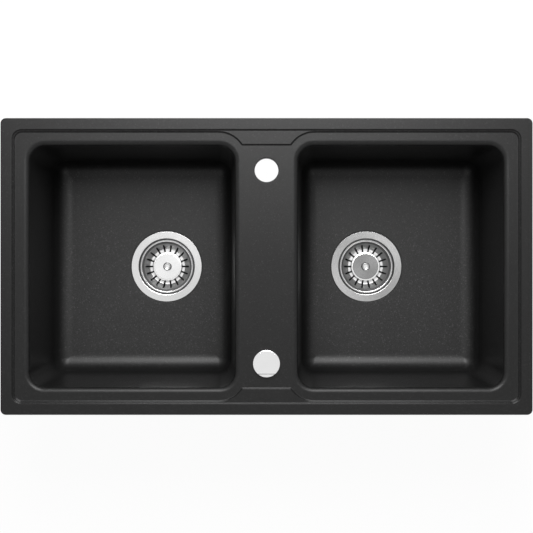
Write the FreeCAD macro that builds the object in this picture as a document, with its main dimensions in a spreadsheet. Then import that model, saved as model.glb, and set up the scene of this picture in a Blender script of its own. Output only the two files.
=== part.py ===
"""Inset double bowl kitchen sink of cast granite composite, with its wastes, overflow and worktop clamps.

Frame: millimetres, +Z up, +X to the right and +Y to the back, where the tap hole is. The origin is the
middle of the sink's flat underside, in the plane of the worktop that the rim rests on.
"""

import FreeCAD, Part
import math
import os

import Sketcher
from FreeCAD import Vector

DRIVING_SIZES = [
    # The casting, seen from above
    ("rim_length", 780, "left to right over the rim"),
    ("rim_width", 435, "front to back over the rim"),
    ("rim_height", 11, "top of the rim above the worktop"),
    ("rim_corner", 8, "outer corner in plan"),
    ("rim_edge", 3, "rounding of the rim's outer top edge"),
    ("rim_band", 16.6, "flat top of the rim, outer edge to the first step"),
    ("step_drop", 1.3, "fall of each of the two steps inside the rim"),
    ("step_tread", 1.4, "flat between the two steps"),
    ("step_corner", 15, "plan corner of the first step"),
    ("ledge_reach", 38.2, "outer edge to the front of the raised ledge beside each hole"),
    ("ledge_length", 69, "straight front of that ledge"),
    ("ledge_nose", 2, "rounding in plan at each end of that straight"),
    ("ledge_sweep", 42, "radius of the ledge's curved ends, round the bowls' corners"),
    # The bowls
    ("side_deck", 41.3, "rim's end to the bowl's wall beside it"),
    ("long_deck", 39.7, "rim's front or back to the bowls' walls"),
    ("bowl_gap", 92.6, "between the two bowls' facing walls, at the rim"),
    ("bowl_depth", 190, "rim to floor"),
    ("bowl_lean", 11, "how far each wall leans in from rim to floor"),
    ("bowl_corner", 23, "plan corner at the rim"),
    ("bowl_foot_corner", 21, "plan corner at the floor"),
    ("bowl_edge", 8, "rounding from deck to wall"),
    ("bowl_cove", 20, "rounding from wall to floor"),
    ("bowl_wall", 8, "thickness of the walls"),
    ("bowl_base", 9, "thickness of the floor"),
    # Holes and bosses of the casting
    ("drain_inset", 114.6, "drain to the bowl's wall beside the gap, at the rim"),
    ("drain_bore", 45, "radius of the drain hole"),
    ("drain_boss", 64, "radius of the boss under the drain"),
    ("drain_boss_height", 4, "height of that boss"),
    ("tap_bore", 17.5, "radius of the tap hole"),
    ("tap_inset", 76, "tap hole to the back of the rim"),
    ("overflow_bore", 16, "radius of the overflow hole"),
    ("overflow_inset", 75.3, "overflow hole to the front of the rim"),
    ("pad_radius", 29, "radius of the thick pads under both holes"),
    ("pad_height", 4, "height of those pads"),
    ("seal_width", 5, "width of the seal groove under the rim"),
    ("seal_depth", 2, "depth of that groove"),
    ("seal_inset", 2.6, "outer edge to the groove"),
    # Strainer cup: pressed stainless steel
    ("sheet", 0.8, "thickness of the cup"),
    ("flange_radius", 56.5, "outer radius of the cup's flange"),
    ("flange_sink", 0.2, "floor of the bowl to the top of the flange"),
    ("recess_gap", 1, "rim of the flange to the recess that it lies in"),
    ("mouth_radius", 45.4, "where the flange turns down into the mouth"),
    ("neck_radius", 43.6, "inside of the neck"),
    ("neck_depth", 4.4, "flange to the ledge that the basket hangs over"),
    ("seat_width", 2.4, "width of that ledge"),
    ("throat_depth", 14, "straight wall below that ledge"),
    ("cup_depth", 42, "floor of the bowl to the bottom of the cup, inside"),
    ("cup_foot", 35, "inside radius at the cup's bottom"),
    ("grate_circle", 18, "radius of the ring of outlet holes"),
    ("grate_hole", 5.4, "radius of each outlet hole"),
    ("grate_holes", 8, "number of outlet holes"),
    ("flange_gasket_thickness", 1.2, "rubber ring under the flange"),
    ("pot_gasket_thickness", 3, "rubber ring under the sink"),
    # Basket: pressed stainless steel
    ("basket_sheet", 0.7, "thickness of the basket"),
    ("basket_gap", 0.3, "running clearance of the basket in its cup"),
    ("basket_shoulder", 36.8, "inside radius where the smooth shoulder ends"),
    ("basket_shoulder_depth", 8, "rim to that place"),
    ("basket_bend", 29, "inside radius where the wall meets the basket's floor"),
    ("basket_depth", 19, "rim to the basket's floor"),
    ("basket_plateau", 21, "radius of the raised middle"),
    ("basket_plateau_rise", 4, "height of the raised middle"),
    ("slot_width", 2, "width of a slot"),
    ("slot_inner", 22.8, "radius where the slots start"),
    ("slot_outer", 35.4, "radius where the slots end"),
    ("slot_count", 18, "number of slots"),
    # Knob, plug and bolt
    ("knob_radius", 6.7, "radius of the knob"),
    ("knob_height", 6, "height of the knob over the plateau"),
    ("knob_round", 1.2, "rounding of its top"),
    ("knob_skirt", 3, "plateau to the widest part of the knob"),
    ("knob_waist", 4.2, "radius of the knob's neck"),
    ("knob_waist_height", 2, "height of that neck"),
    ("knob_dimple", 3.4, "radius of the hollow in its top"),
    ("stem_radius", 2.5, "radius of the stem below the knob"),
    ("plug_radius", 27, "radius of the rubber plug"),
    ("plug_thickness", 3, "thickness of the rubber plug"),
    ("plug_eye", 7.5, "radius of the hole in it, clear of the bolt's head"),
    ("plug_plate_radius", 22, "radius of the steel plate above it"),
    ("plug_plate_thickness", 1.5, "thickness of that plate"),
    ("bolt_radius", 3, "radius of the waste bolt"),
    ("bolt_head", 5.5, "radius of its head"),
    ("bolt_head_height", 2.6, "height of its head"),
    ("bolt_head_bevel", 1.6, "bevel of its head"),
    ("bolt_length", 16, "length below the head"),
    ("snug", 0.05, "clearance of a shank in its hole"),
    # Waste pot: moulded plastic
    ("pot_flange", 58, "radius of the pot's flange"),
    ("pot_flange_thickness", 4, "thickness of the flange"),
    ("pot_radius", 50, "outer radius of the pot"),
    ("pot_wall", 2.6, "wall of the pot"),
    ("pot_sump", 19, "inside the pot below the cup"),
    ("outlet_radius", 23.9, "outer radius of the threaded outlet"),
    ("outlet_bore", 20, "bore of the outlet"),
    ("outlet_length", 24, "length of the outlet below the pot"),
    ("hub_radius", 7, "radius of the hub that takes the bolt"),
    ("rib_thickness", 3, "thickness of the hub's four ribs"),
    ("rib_fall", 5, "top of the hub to the top of its ribs"),
    ("port_radius", 10, "outer radius of the overflow port and spigot"),
    ("port_bore", 7.5, "bore of both"),
    ("port_reach", 80, "pot's middle to the end of its port"),
    ("port_clear", 2, "underside of the pot's flange to the port"),
    # Overflow
    ("cap_radius", 20, "radius of the overflow cap"),
    ("cap_height", 5.2, "height of the cap above the deck"),
    ("cap_edge", 1.5, "rounding of the cap's top edge"),
    ("cap_skin", 2, "thickness of the cap's top"),
    ("cap_skirt", 1.2, "wall of the cap's skirt"),
    ("cap_line", 14.8, "cap's middle to the groove across it"),
    ("cap_line_width", 1, "width of that groove"),
    ("cap_line_depth", 0.9, "depth of that groove"),
    ("cap_leg_depth", 12, "how far the cap's legs reach below the deck"),
    ("cap_leg_wall", 1.2, "thickness of the legs"),
    ("cap_leg_spacing", 14.5, "gap from each leg to the next"),
    ("cap_gap", 0.3, "clearance under and inside the cap"),
    ("mouth_width", 22, "width of the water inlet in the skirt"),
    ("mouth_height", 2.2, "height of that inlet"),
    ("bush_flange", 18, "radius of the bush's flange"),
    ("bush_flange_thickness", 1.4, "thickness of that flange"),
    ("bush_radius", 15.5, "outer radius of the bush"),
    ("bush_bore", 13.5, "bore of the bush"),
    ("bush_reach", 14, "bush below the pad"),
    ("overflow_gasket_radius", 25, "outer radius of the overflow gasket"),
    ("overflow_gasket_thickness", 2, "thickness of it"),
    ("hopper_flange_thickness", 3, "flange of the hopper"),
    ("hopper_radius", 19, "outer radius of the hopper"),
    ("hopper_length", 20, "flange to cone"),
    ("hopper_cone", 8, "height of the cone"),
    ("spigot_length", 22, "length of the hopper's spigot"),
    ("pipe_wall", 2.1, "wall of the overflow pipe"),
    ("pipe_bend", 40, "radius of the pipe's bend"),
    ("pipe_overlap", 16, "how far the pipe goes over each spigot"),
    ("clip_thickness", 1.2, "thickness of a pipe clip"),
    ("clip_width", 8, "width of a pipe clip"),
    ("clip_setback", 4, "pipe's end to the clip"),
    ("port_cap_reach", 14, "blanking cap over the unused port"),
    ("port_cap_wall", 2, "wall of the blanking cap"),
    # Worktop clamps
    ("worktop", 38, "thickness of the worktop that the clamps grip"),
    ("cutout_edge", 10, "rim's overlap on the worktop"),
    ("cutout_gap", 3, "edge of the cut-out to the parked clamps"),
    ("clamp_inset", 160, "rim's end to the outer clamps of its long sides"),
    ("boss_radius", 8, "radius of a clamp boss"),
    ("boss_height", 12, "height of a clamp boss"),
    ("insert_radius", 4, "outer radius of the threaded insert"),
    ("insert_length", 10, "length of the insert"),
    ("screw_radius", 2.5, "radius of a clamp screw"),
    ("screw_head", 4.8, "radius of its head"),
    ("screw_head_height", 3.4, "height of its head"),
    ("strap_thickness", 2.5, "thickness of the clamp's strap"),
    ("strap_width", 14, "width of the strap"),
    ("strap_reach", 24, "screw to the strap's tip"),
    ("strap_heel", 8, "screw to the back of the strap's heel"),
    ("strap_tooth", 4, "height of the tip that bites the worktop"),
    ("strap_gap", 0.3, "clearance of the strap on its screw and under its boss"),
]

SIDES = (("left", -1), ("right", 1))
CAP_LEGS = 3
QUARTER = math.pi / 2
# Across a 45 degree bend, the sheet's outer corner lies this share of its thickness past the inner one.
HALF_BEND = math.tan(QUARTER / 4)


# ---- Sizes: each is a number and the formula that gives it ----------------------------------------------


class Size:
    """A length that carries both its number and the spreadsheet formula behind it."""

    def __init__(self, formula, number):
        self.formula = formula
        self.number = number

    def joined(self, sign, other, number):
        return Size(f"({self.formula} {sign} {sized(other).formula})", number)

    def __add__(self, other):
        return self.joined("+", other, self.number + sized(other).number)

    def __sub__(self, other):
        return self.joined("-", other, self.number - sized(other).number)

    def __mul__(self, other):
        return self.joined("*", other, self.number * sized(other).number)

    def __truediv__(self, other):
        return self.joined("/", other, self.number / sized(other).number)

    def __neg__(self):
        return Size(f"(0 - {self.formula})", -self.number)

    def __radd__(self, other):
        return sized(other) + self

    def __rsub__(self, other):
        return sized(other) - self

    def __rmul__(self, other):
        return sized(other) * self


def sized(value):
    return value if isinstance(value, Size) else Size(f"({value})", float(value))


def root(value):
    return Size(f"sqrt({value.formula})", math.sqrt(value.number))


def square(value):
    return value * value


def hypotenuse(a, b):
    return root(square(a) + square(b))


def bearing(y, x):
    """The angle, in degrees, of the direction (x, y)."""
    number = math.degrees(math.atan2(y.number, x.number))
    return Size(f"(atan2({y.formula}; {x.formula}) / 1deg)", number)


doc = FreeCAD.newDocument("DoubleBowlSink")
sheet = doc.addObject("Spreadsheet::Sheet", "Sizes")
for row, (alias, number, meaning) in enumerate(DRIVING_SIZES, start=1):
    sheet.set(f"A{row}", alias)
    sheet.set(f"B{row}", str(number))
    sheet.setAlias(f"B{row}", alias)
    sheet.set(f"C{row}", meaning)
doc.recompute()


class Sizes:
    """The driving dimensions by name, as Size values read back from the sheet."""


s = Sizes()
for name, _, _ in DRIVING_SIZES:
    setattr(s, name, Size(f"Sizes.{name}", float(getattr(sheet, name))))


# ---- Building blocks -----------------------------------------------------------------------------------

bodies = []


def new_body(label, x=0, y=0, z=0, turn=None, several=False):
    """A sub-part's body at (x, y, z), turned about its upright axis by an angle in degrees."""
    body = doc.addObject("PartDesign::Body", label)
    body.Label = label
    body.AllowCompound = several
    for axis, value in (("x", x), ("y", y), ("z", z)):
        body.setExpression(f"Placement.Base.{axis}", sized(value).formula)
    if turn is not None:
        body.Placement.Rotation.Axis = Vector(0, 0, 1)
        body.setExpression("Placement.Rotation.Angle", f"{sized(turn).formula} * 1deg")
    bodies.append(body)
    return body


def origin_feature(body, role):
    return next(item for item in body.Origin.OriginFeatures if item.Role == role)


def new_sketch(body, name, level=0, role="XY_Plane"):
    """A sketch on one of the body's own planes, raised along its normal to a level."""
    sketch = body.newObject("Sketcher::SketchObject", name)
    sketch.AttachmentSupport = [(origin_feature(body, role), "")]
    sketch.MapMode = "FlatFace"
    sketch.setExpression("AttachmentOffset.Base.z", sized(level).formula)
    return sketch


def dimension(sketch, kind, value, *where):
    """One dimension of a sketch, driven by a formula."""
    number = sketch.addConstraint(Sketcher.Constraint(kind, *where, value.number))
    sketch.setExpression(f"Constraints[{number}]", value.formula)


def place_point(sketch, curve, end, x, y):
    """Holds a point of a curve at (x, y) of the sketch."""
    for kind, axis, value in (("DistanceX", -2, x), ("DistanceY", -1, y)):
        if isinstance(value, Size):
            dimension(sketch, kind, value, -1, 1, curve, end)
        elif value == 0:
            sketch.addConstraint(Sketcher.Constraint("PointOnObject", curve, end, axis))
        else:
            dimension(sketch, kind, sized(value), -1, 1, curve, end)


def draw_circle(sketch, radius, x=0, y=0):
    centre = Vector(sized(x).number, sized(y).number, 0)
    curve = sketch.addGeometry(Part.Circle(centre, Vector(0, 0, 1), radius.number))
    dimension(sketch, "Radius", radius, curve)
    if isinstance(x, Size) or isinstance(y, Size) or x or y:
        place_point(sketch, curve, 3, x, y)
    else:
        sketch.addConstraint(Sketcher.Constraint("Coincident", curve, 3, -1, 1))


def draw_outline(sketch, corners):
    """A closed ring of straight lines through corners, each of them an (x, y) pair."""
    points = [Vector(sized(x).number, sized(y).number, 0) for x, y in corners]
    ends = points[1:] + points[:1]
    curves = [sketch.addGeometry(Part.LineSegment(a, b)) for a, b in zip(points, ends)]
    for curve, following in zip(curves, curves[1:] + curves[:1]):
        sketch.addConstraint(Sketcher.Constraint("Coincident", curve, 2, following, 1))
    for curve, (x, y) in zip(curves, corners):
        place_point(sketch, curve, 1, x, y)


def draw_box(sketch, x_low, x_high, y_low, y_high):
    draw_outline(sketch, [(x_low, y_low), (x_high, y_low), (x_high, y_high), (x_low, y_high)])


def draw_smooth_ring(sketch, pieces):
    """A closed ring of curves that run smoothly into each other. Each piece is a (curve, reversed) pair."""
    ring = []
    for curve, backwards in pieces:
        number = sketch.addGeometry(curve)
        ring.append((number, 2, 1) if backwards else (number, 1, 2))
    for (curve, _, way_out), (following, way_in, _) in zip(ring, ring[1:] + ring[:1]):
        sketch.addConstraint(Sketcher.Constraint("Tangent", curve, way_out, following, way_in))
    return [number for number, _, _ in ring]


def arc(x, y, radius, start, end):
    """An arc about (x, y) between two angles in radians, anticlockwise."""
    return Part.ArcOfCircle(Part.Circle(Vector(x, y, 0), Vector(0, 0, 1), radius), start, end)


def straight(x1, y1, x2, y2):
    return Part.LineSegment(Vector(x1, y1, 0), Vector(x2, y2, 0))


def draw_rounded_box(sketch, length, width, radius, x=0):
    """A rectangle with round corners, centred at (x, 0)."""
    right = (x + length / 2).number
    left = (x - length / 2).number
    back = (width / 2).number
    r = radius.number
    ring = draw_smooth_ring(sketch, [
        (straight(left + r, back, right - r, back), False),
        (arc(right - r, back - r, r, 0, QUARTER), True),
        (straight(right, back - r, right, r - back), False),
        (arc(right - r, r - back, r, -QUARTER, 0), True),
        (straight(right - r, -back, left + r, -back), False),
        (arc(left + r, r - back, r, 2 * QUARTER, 3 * QUARTER), True),
        (straight(left, r - back, left, back - r), False),
        (arc(left + r, back - r, r, QUARTER, 2 * QUARTER), True),
    ])
    sides, corners = ring[0::2], ring[1::2]
    for side, way in zip(sides, ("Horizontal", "Vertical", "Horizontal", "Vertical")):
        sketch.addConstraint(Sketcher.Constraint(way, side))
    for corner in corners:
        dimension(sketch, "Radius", radius, corner)
    dimension(sketch, "DistanceY", width / 2, -1, 1, sides[0], 1)
    dimension(sketch, "DistanceX", x + length / 2, -1, 1, sides[1], 1)
    dimension(sketch, "DistanceY", -width / 2, -1, 1, sides[2], 1)
    dimension(sketch, "DistanceX", x - length / 2, -1, 1, sides[3], 1)


def finish_feature(body, feature):
    body.Tip = feature
    doc.recompute()
    return feature


def add_extrusion(body, kind, sketch, length, upwards, slope=0, middle=False):
    """A Pad or Pocket of a sketch, up or down, with walls that lean by slope degrees."""
    feature = body.newObject(f"PartDesign::{kind}", kind)
    feature.Profile = sketch
    feature.setExpression("Length", sized(length).formula)
    # A pad grows along the sketch's normal, and a pocket cuts against it.
    feature.Reversed = upwards == (kind == "Pocket")
    feature.TaperAngle = slope
    feature.Midplane = middle
    return finish_feature(body, feature)


def pad(body, sketch, length, upwards=True, **how):
    return add_extrusion(body, "Pad", sketch, length, upwards, **how)


def pocket(body, sketch, length, upwards=False, **how):
    return add_extrusion(body, "Pocket", sketch, length, upwards, **how)


def turn_profile(body, corners, kind="Revolution"):
    """A solid of revolution, or a groove, about the body's upright axis, from (radius, height) corners."""
    sketch = new_sketch(body, "Profile", role="XZ_Plane")
    draw_outline(sketch, corners)
    feature = body.newObject(f"PartDesign::{kind}", kind)
    feature.Profile = sketch
    feature.ReferenceAxis = (sketch, ["V_Axis"])
    feature.Angle = 360
    return finish_feature(body, feature)


def loft(body, kind, lower, upper):
    feature = body.newObject(f"PartDesign::{kind}", kind)
    feature.Profile = upper
    feature.Sections = [lower]
    feature.Ruled = True
    return finish_feature(body, feature)


def mirror(body, features, role="YZ_Plane"):
    feature = body.newObject("PartDesign::Mirrored", "Mirrored")
    feature.Originals = features
    feature.MirrorPlane = (origin_feature(body, role), [""])
    return finish_feature(body, feature)


def repeat_round(body, feature, count):
    """Copies of a feature, evenly spaced round the body's upright axis."""
    pattern = body.newObject("PartDesign::PolarPattern", "PolarPattern")
    pattern.Originals = [feature]
    pattern.Axis = (origin_feature(body, "Z_Axis"), [""])
    pattern.Angle = 360
    pattern.setExpression("Occurrences", sized(count).formula)
    return finish_feature(body, pattern)


def fillet(body, radius, wanted):
    """Rounds every edge of the body so far whose box passes the test wanted."""
    base = body.Tip
    edges = [f"Edge{n}" for n, edge in enumerate(base.Shape.Edges, start=1) if wanted(edge.BoundBox)]
    feature = body.newObject("PartDesign::Fillet", "Fillet")
    feature.Base = (base, edges)
    feature.setExpression("Radius", sized(radius).formula)
    return finish_feature(body, feature)


def lies_at(box, height):
    return abs(box.ZMin - height.number) < 0.01 and abs(box.ZMax - height.number) < 0.01


def within(box, half_length, half_width):
    """Whether a box's middle lies inside a rectangle about the upright axis."""
    return abs(box.Center.x) < half_length and abs(box.Center.y) < half_width


# ---- Levels and places that several pieces share -------------------------------------------------------

rim_top = s.rim_height
ledge_top = rim_top - s.step_drop
deck_top = ledge_top - s.step_drop
floor_top = rim_top - s.bowl_depth
floor_under = floor_top - s.bowl_base
boss_under = floor_under - s.drain_boss_height
pad_under = -s.pad_height
bowl_length = s.rim_length / 2 - s.side_deck - s.bowl_gap / 2
bowl_width = s.rim_width - 2 * s.long_deck
bowl_x = s.bowl_gap / 2 + bowl_length / 2
drain_x = s.bowl_gap / 2 + s.drain_inset
tap_y = s.rim_width / 2 - s.tap_inset
overflow_y = s.overflow_inset - s.rim_width / 2

STEP_SLOPE = 45
second_step = s.rim_band + s.step_drop + s.step_tread

parked_inset = s.cutout_edge + s.cutout_gap + s.strap_width / 2
clamp_x = s.rim_length / 2 - parked_inset
clamp_y = s.rim_width / 2 - parked_inset
clamp_spread = s.rim_length / 2 - s.clamp_inset
CLAMP_PLACES = {
    # name: (x, y, heading when parked, in degrees)
    "clamp_front_left": (-clamp_spread, -clamp_y, 0),
    "clamp_front_middle": (0, -clamp_y, 0),
    "clamp_front_right": (clamp_spread, -clamp_y, 180),
    "clamp_back_left": (-clamp_spread, clamp_y, 0),
    "clamp_back_middle": (0, clamp_y, 0),
    "clamp_back_right": (clamp_spread, clamp_y, 180),
    "clamp_left": (-clamp_x, 0, 90),
    "clamp_right": (clamp_x, 0, 90),
}


def clamp_places():
    return [(x, y) for x, y, heading in CLAMP_PLACES.values()]


# ---- The casting ---------------------------------------------------------------------------------------


def draw_deck_outline(sketch):
    """The deck's edge: the second step, which comes forward beside each hole and round the bowls' corners."""
    side = s.rim_length / 2 - second_step
    outer = s.rim_width / 2 - second_step
    front = s.rim_width / 2 - s.ledge_reach
    corner = s.step_corner + s.rim_band - second_step
    sweep = s.ledge_sweep
    nose = s.ledge_nose
    sweep_y = outer - sweep
    sweep_x = s.ledge_length / 2 + root((sweep + nose) * (sweep + nose) - square(front + nose - sweep_y))
    nose_x = s.ledge_length / 2
    c = corner.number
    swept = math.atan2((front + nose - sweep_y).number, (sweep_x - nose_x).number)
    pieces = []
    for sign in (1, -1):
        turn = 0 if sign > 0 else math.pi
        x0, x1, x2, y0, y1 = (sign * value.number for value in (side, sweep_x, nose_x, outer, front))
        cx, cy, ny, sy = (sign * value.number for value in (side - corner, outer - corner, front + nose, sweep_y))
        pieces += [
            (straight(-cx, y0, -x1, y0), False),
            (arc(-x1, sy, sweep.number, swept + turn, QUARTER + turn), True),
            (arc(-x2, ny, nose.number, swept + math.pi + turn, 3 * QUARTER + turn), False),
            (straight(-x2, y1, x2, y1), False),
            (arc(x2, ny, nose.number, 3 * QUARTER + turn, 4 * QUARTER - swept + turn), False),
            (arc(x1, sy, sweep.number, QUARTER + turn, math.pi - swept + turn), True),
            (straight(x1, y0, cx, y0), False),
            (arc(cx, cy, c, turn, QUARTER + turn), True),
            (straight(x0, cy, x0, -cy), False),
        ]
        pieces.append((arc(cx, -cy, c, turn - QUARTER, turn), True))
    ring = draw_smooth_ring(sketch, pieces)
    for sign, half in ((1, ring[:10]), (-1, ring[10:])):
        back_left, sweep_left, nose_left, face, nose_right, sweep_right, back_right, near, end, far = half
        for line in (back_left, face, back_right):
            sketch.addConstraint(Sketcher.Constraint("Horizontal", line))
        sketch.addConstraint(Sketcher.Constraint("Vertical", end))
        for curve, radius in (
            (sweep_left, sweep), (nose_left, nose), (nose_right, nose), (sweep_right, sweep),
            (near, corner), (far, corner),
        ):
            dimension(sketch, "Radius", radius, curve)
        dimension(sketch, "DistanceY", sign * outer, -1, 1, back_left, 1)
        dimension(sketch, "DistanceY", sign * outer, -1, 1, back_right, 1)
        dimension(sketch, "DistanceY", sign * front, -1, 1, face, 1)
        dimension(sketch, "DistanceX", -sign * sweep_x, -1, 1, sweep_left, 3)
        dimension(sketch, "DistanceX", sign * sweep_x, -1, 1, sweep_right, 3)
        dimension(sketch, "DistanceX", sign * side, -1, 1, end, 1)


def draw_bowl(sketch, shrink, thickness, corner):
    """A bowl's plan outline, drawn in by shrink and out by a wall's thickness on every side."""
    length = bowl_length - 2 * shrink + 2 * thickness
    width = bowl_width - 2 * shrink + 2 * thickness
    draw_rounded_box(sketch, length, width, corner + thickness, x=bowl_x)


def add_bowl(body, kind, top, bottom, thickness):
    """The right-hand bowl as a drafted block, and its mirror image on the left."""
    upper = new_sketch(body, "BowlTop", top)
    draw_bowl(upper, sized(0), thickness, s.bowl_corner)
    lower = new_sketch(body, "BowlFoot", bottom)
    draw_bowl(lower, s.bowl_lean, thickness, s.bowl_foot_corner)
    return mirror(body, [loft(body, kind, lower, upper)])


def add_discs(body, kind, radius, places, level, height, upwards):
    """A pad or pocket of equal circles at several places."""
    sketch = new_sketch(body, "Circles", level)
    for x, y in places:
        draw_circle(sketch, radius, x, y)
    return add_extrusion(body, kind, sketch, height, upwards)


def cast_rim(body):
    """A flat plate with two steps down to the deck inside its raised band."""
    outline = new_sketch(body, "RimOutline")
    draw_rounded_box(outline, s.rim_length, s.rim_width, s.rim_corner)
    pad(body, outline, s.rim_height)
    ledge = new_sketch(body, "LedgeOutline", rim_top)
    draw_rounded_box(ledge, s.rim_length - 2 * s.rim_band, s.rim_width - 2 * s.rim_band, s.step_corner)
    pocket(body, ledge, s.step_drop, slope=-STEP_SLOPE)
    deck = new_sketch(body, "DeckOutline", ledge_top)
    draw_deck_outline(deck)
    pocket(body, deck, s.step_drop, slope=-STEP_SLOPE)
    half_length = s.rim_length.number / 2 - s.rim_band.number
    half_width = s.rim_width.number / 2 - s.rim_band.number
    fillet(body, s.rim_edge, lambda box: lies_at(box, rim_top) and not within(box, half_length, half_width))


def cast_holes(body):
    """Tap hole, overflow hole, bosses for the clamps, and the groove for the seal."""
    holes = [(0, tap_y), (0, overflow_y)]
    add_discs(body, "Pad", s.pad_radius, holes, 0, s.pad_height, upwards=False)
    for place, radius in zip(holes, (s.tap_bore, s.overflow_bore)):
        add_discs(body, "Pocket", radius, [place], deck_top, deck_top + s.pad_height, upwards=False)
    add_discs(body, "Pad", s.boss_radius, clamp_places(), 0, s.boss_height, upwards=False)
    add_discs(body, "Pocket", s.insert_radius, clamp_places(), -s.boss_height, s.insert_length, upwards=True)
    groove = new_sketch(body, "SealGroove")
    draw_seal_outline(groove, sized(0))
    pocket(body, groove, s.seal_depth, upwards=True)


def cast_bowls(body):
    """Two drafted bowls with coved floors, and soft edges where they meet the deck."""
    add_bowl(body, "AdditiveLoft", deck_top / 2, floor_under, s.bowl_wall)
    add_bowl(body, "SubtractiveLoft", rim_top, floor_top, sized(0))
    fillet(body, s.bowl_cove, lambda box: lies_at(box, floor_top))
    fillet(body, s.bowl_cove + s.bowl_wall, lambda box: lies_at(box, floor_under))
    half_length = s.bowl_gap.number / 2 + bowl_length.number
    half_width = bowl_width.number / 2
    fillet(body, s.bowl_edge, lambda box: lies_at(box, deck_top) and within(box, half_length, half_width)
           and not within(box, s.bowl_gap.number / 4, half_width))


def cast_drains(body):
    """A boss under each drain, a shallow recess for the flange, and the hole."""
    drains = [(-drain_x, 0), (drain_x, 0)]
    recess = s.flange_gasket_thickness + s.sheet + s.flange_sink
    through = s.bowl_base + s.drain_boss_height
    add_discs(body, "Pad", s.drain_boss, drains, floor_under, s.drain_boss_height, upwards=False)
    add_discs(body, "Pocket", s.flange_radius + s.recess_gap, drains, floor_top, recess, upwards=False)
    add_discs(body, "Pocket", s.drain_bore, drains, floor_top, through, upwards=False)


def sink_body():
    body = new_body("sink_body")
    cast_rim(body)
    cast_holes(body)
    cast_bowls(body)
    cast_drains(body)


def draw_seal_outline(sketch, gap):
    """The two edges of the seal's track under the rim, drawn in by a gap on both sides."""
    for inset in (s.seal_inset + gap, s.seal_inset + s.seal_width - gap):
        corner = s.rim_corner + s.seal_width - inset
        draw_rounded_box(sketch, s.rim_length - 2 * inset, s.rim_width - 2 * inset, corner)


def rim_seal():
    body = new_body("rim_seal")
    track = new_sketch(body, "SealTrack")
    draw_seal_outline(track, s.snug)
    pad(body, track, s.seal_depth)


# ---- Strainer and waste of one bowl --------------------------------------------------------------------

flange_top = floor_top - s.flange_sink
gasket_top = flange_top - s.sheet
mouth_foot = flange_top - (s.mouth_radius - s.neck_radius)
port_turn = bearing(overflow_y, drain_x)
neck_outer = s.neck_radius + s.sheet
seat_radius = s.neck_radius - s.seat_width
pot_top = boss_under - s.pot_gasket_thickness
port_axis = pot_top - s.pot_flange_thickness - s.port_clear - s.port_radius
cup_floor = floor_top - s.cup_depth
cup_under = cup_floor - s.sheet
pot_inside = s.pot_radius - s.pot_wall
pot_floor = cup_under - s.pot_sump
pot_under = pot_floor - s.pot_wall


def strainer_cup(side, x):
    """Flange, neck, ledge and tapered wall in one pressing, with a grated bottom for the bolt."""
    body = new_body(f"{side}_strainer_cup", x=x)
    t = s.sheet
    seat_top = flange_top - s.neck_depth
    inner = [
        (s.flange_radius, flange_top),
        (s.mouth_radius, flange_top),
        (s.neck_radius, mouth_foot),
        (s.neck_radius, seat_top),
        (seat_radius, seat_top - t / 2),
        (seat_radius, seat_top - s.throat_depth),
        (s.cup_foot, cup_floor),
        (0, cup_floor),
    ]
    outer = [
        (0, cup_under),
        (s.cup_foot + t / 2, cup_under),
        (seat_radius + t, seat_top - s.throat_depth),
        (seat_radius + t, seat_top - t - t / 2),
        (neck_outer, seat_top - t),
        (neck_outer, mouth_foot - HALF_BEND * t),
        (s.mouth_radius + HALF_BEND * t, gasket_top),
        (s.flange_radius, gasket_top),
    ]
    turn_profile(body, inner + outer)
    hole = new_sketch(body, "OutletHole", cup_floor)
    draw_circle(hole, s.grate_hole, s.grate_circle, 0)
    repeat_round(body, pocket(body, hole, 2 * t), s.grate_holes)
    bolt_hole = new_sketch(body, "BoltHole", cup_floor)
    draw_circle(bolt_hole, s.bolt_radius + s.snug)
    pocket(body, bolt_hole, 2 * t)


def ring(label, inner, outer, top, height, x=0, y=0):
    """A flat ring between two radii, hanging down from a level."""
    body = new_body(label, x=x, y=y, z=top)
    sketch = new_sketch(body, "Ring")
    draw_circle(sketch, outer)
    draw_circle(sketch, inner)
    pad(body, sketch, height, upwards=False)


def waste_pot(side, x, turn):
    """Moulded pot that clamps the cup to the sink, with a threaded outlet and an overflow port."""
    body = new_body(f"{side}_waste_pot", x=x, turn=turn)
    turn_profile(body, [
        (s.pot_flange, pot_top),
        (s.pot_flange, pot_top - s.pot_flange_thickness),
        (s.pot_radius, pot_top - s.pot_flange_thickness),
        (s.pot_radius, pot_under + s.pot_wall),
        (s.pot_radius - s.pot_wall, pot_under),
        (s.outlet_radius, pot_under),
        (s.outlet_radius, pot_under - s.outlet_length),
        (s.outlet_bore, pot_under - s.outlet_length),
        (s.outlet_bore, pot_floor),
        (pot_inside, pot_floor),
        (pot_inside, pot_top),
    ])
    rib = new_sketch(body, "Ribs", cup_under - s.rib_fall)
    half = s.rib_thickness / 2
    reach = pot_inside + s.pot_wall / 2
    draw_outline(rib, [
        (-reach, -half), (-half, -half), (-half, -reach), (half, -reach), (half, -half), (reach, -half),
        (reach, half), (half, half), (half, reach), (-half, reach), (-half, half), (-reach, half),
    ])
    pad(body, rib, s.pot_sump - s.rib_fall, upwards=False)
    hub = new_sketch(body, "Hub", cup_under)
    draw_circle(hub, s.hub_radius)
    pad(body, hub, s.pot_sump, upwards=False)
    thread = new_sketch(body, "BoltThread", cup_under)
    draw_circle(thread, s.bolt_radius + s.snug)
    pocket(body, thread, s.bolt_length)
    port = new_sketch(body, "Port", s.port_reach, role="YZ_Plane")
    draw_circle(port, s.port_radius, 0, port_axis)
    pad(body, port, s.port_reach - s.pot_radius + s.pot_wall / 2, upwards=False)
    bore = new_sketch(body, "PortBore", s.port_reach, role="YZ_Plane")
    draw_circle(bore, s.port_bore, 0, port_axis)
    pocket(body, bore, s.port_reach - pot_inside + s.pot_wall)


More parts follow.
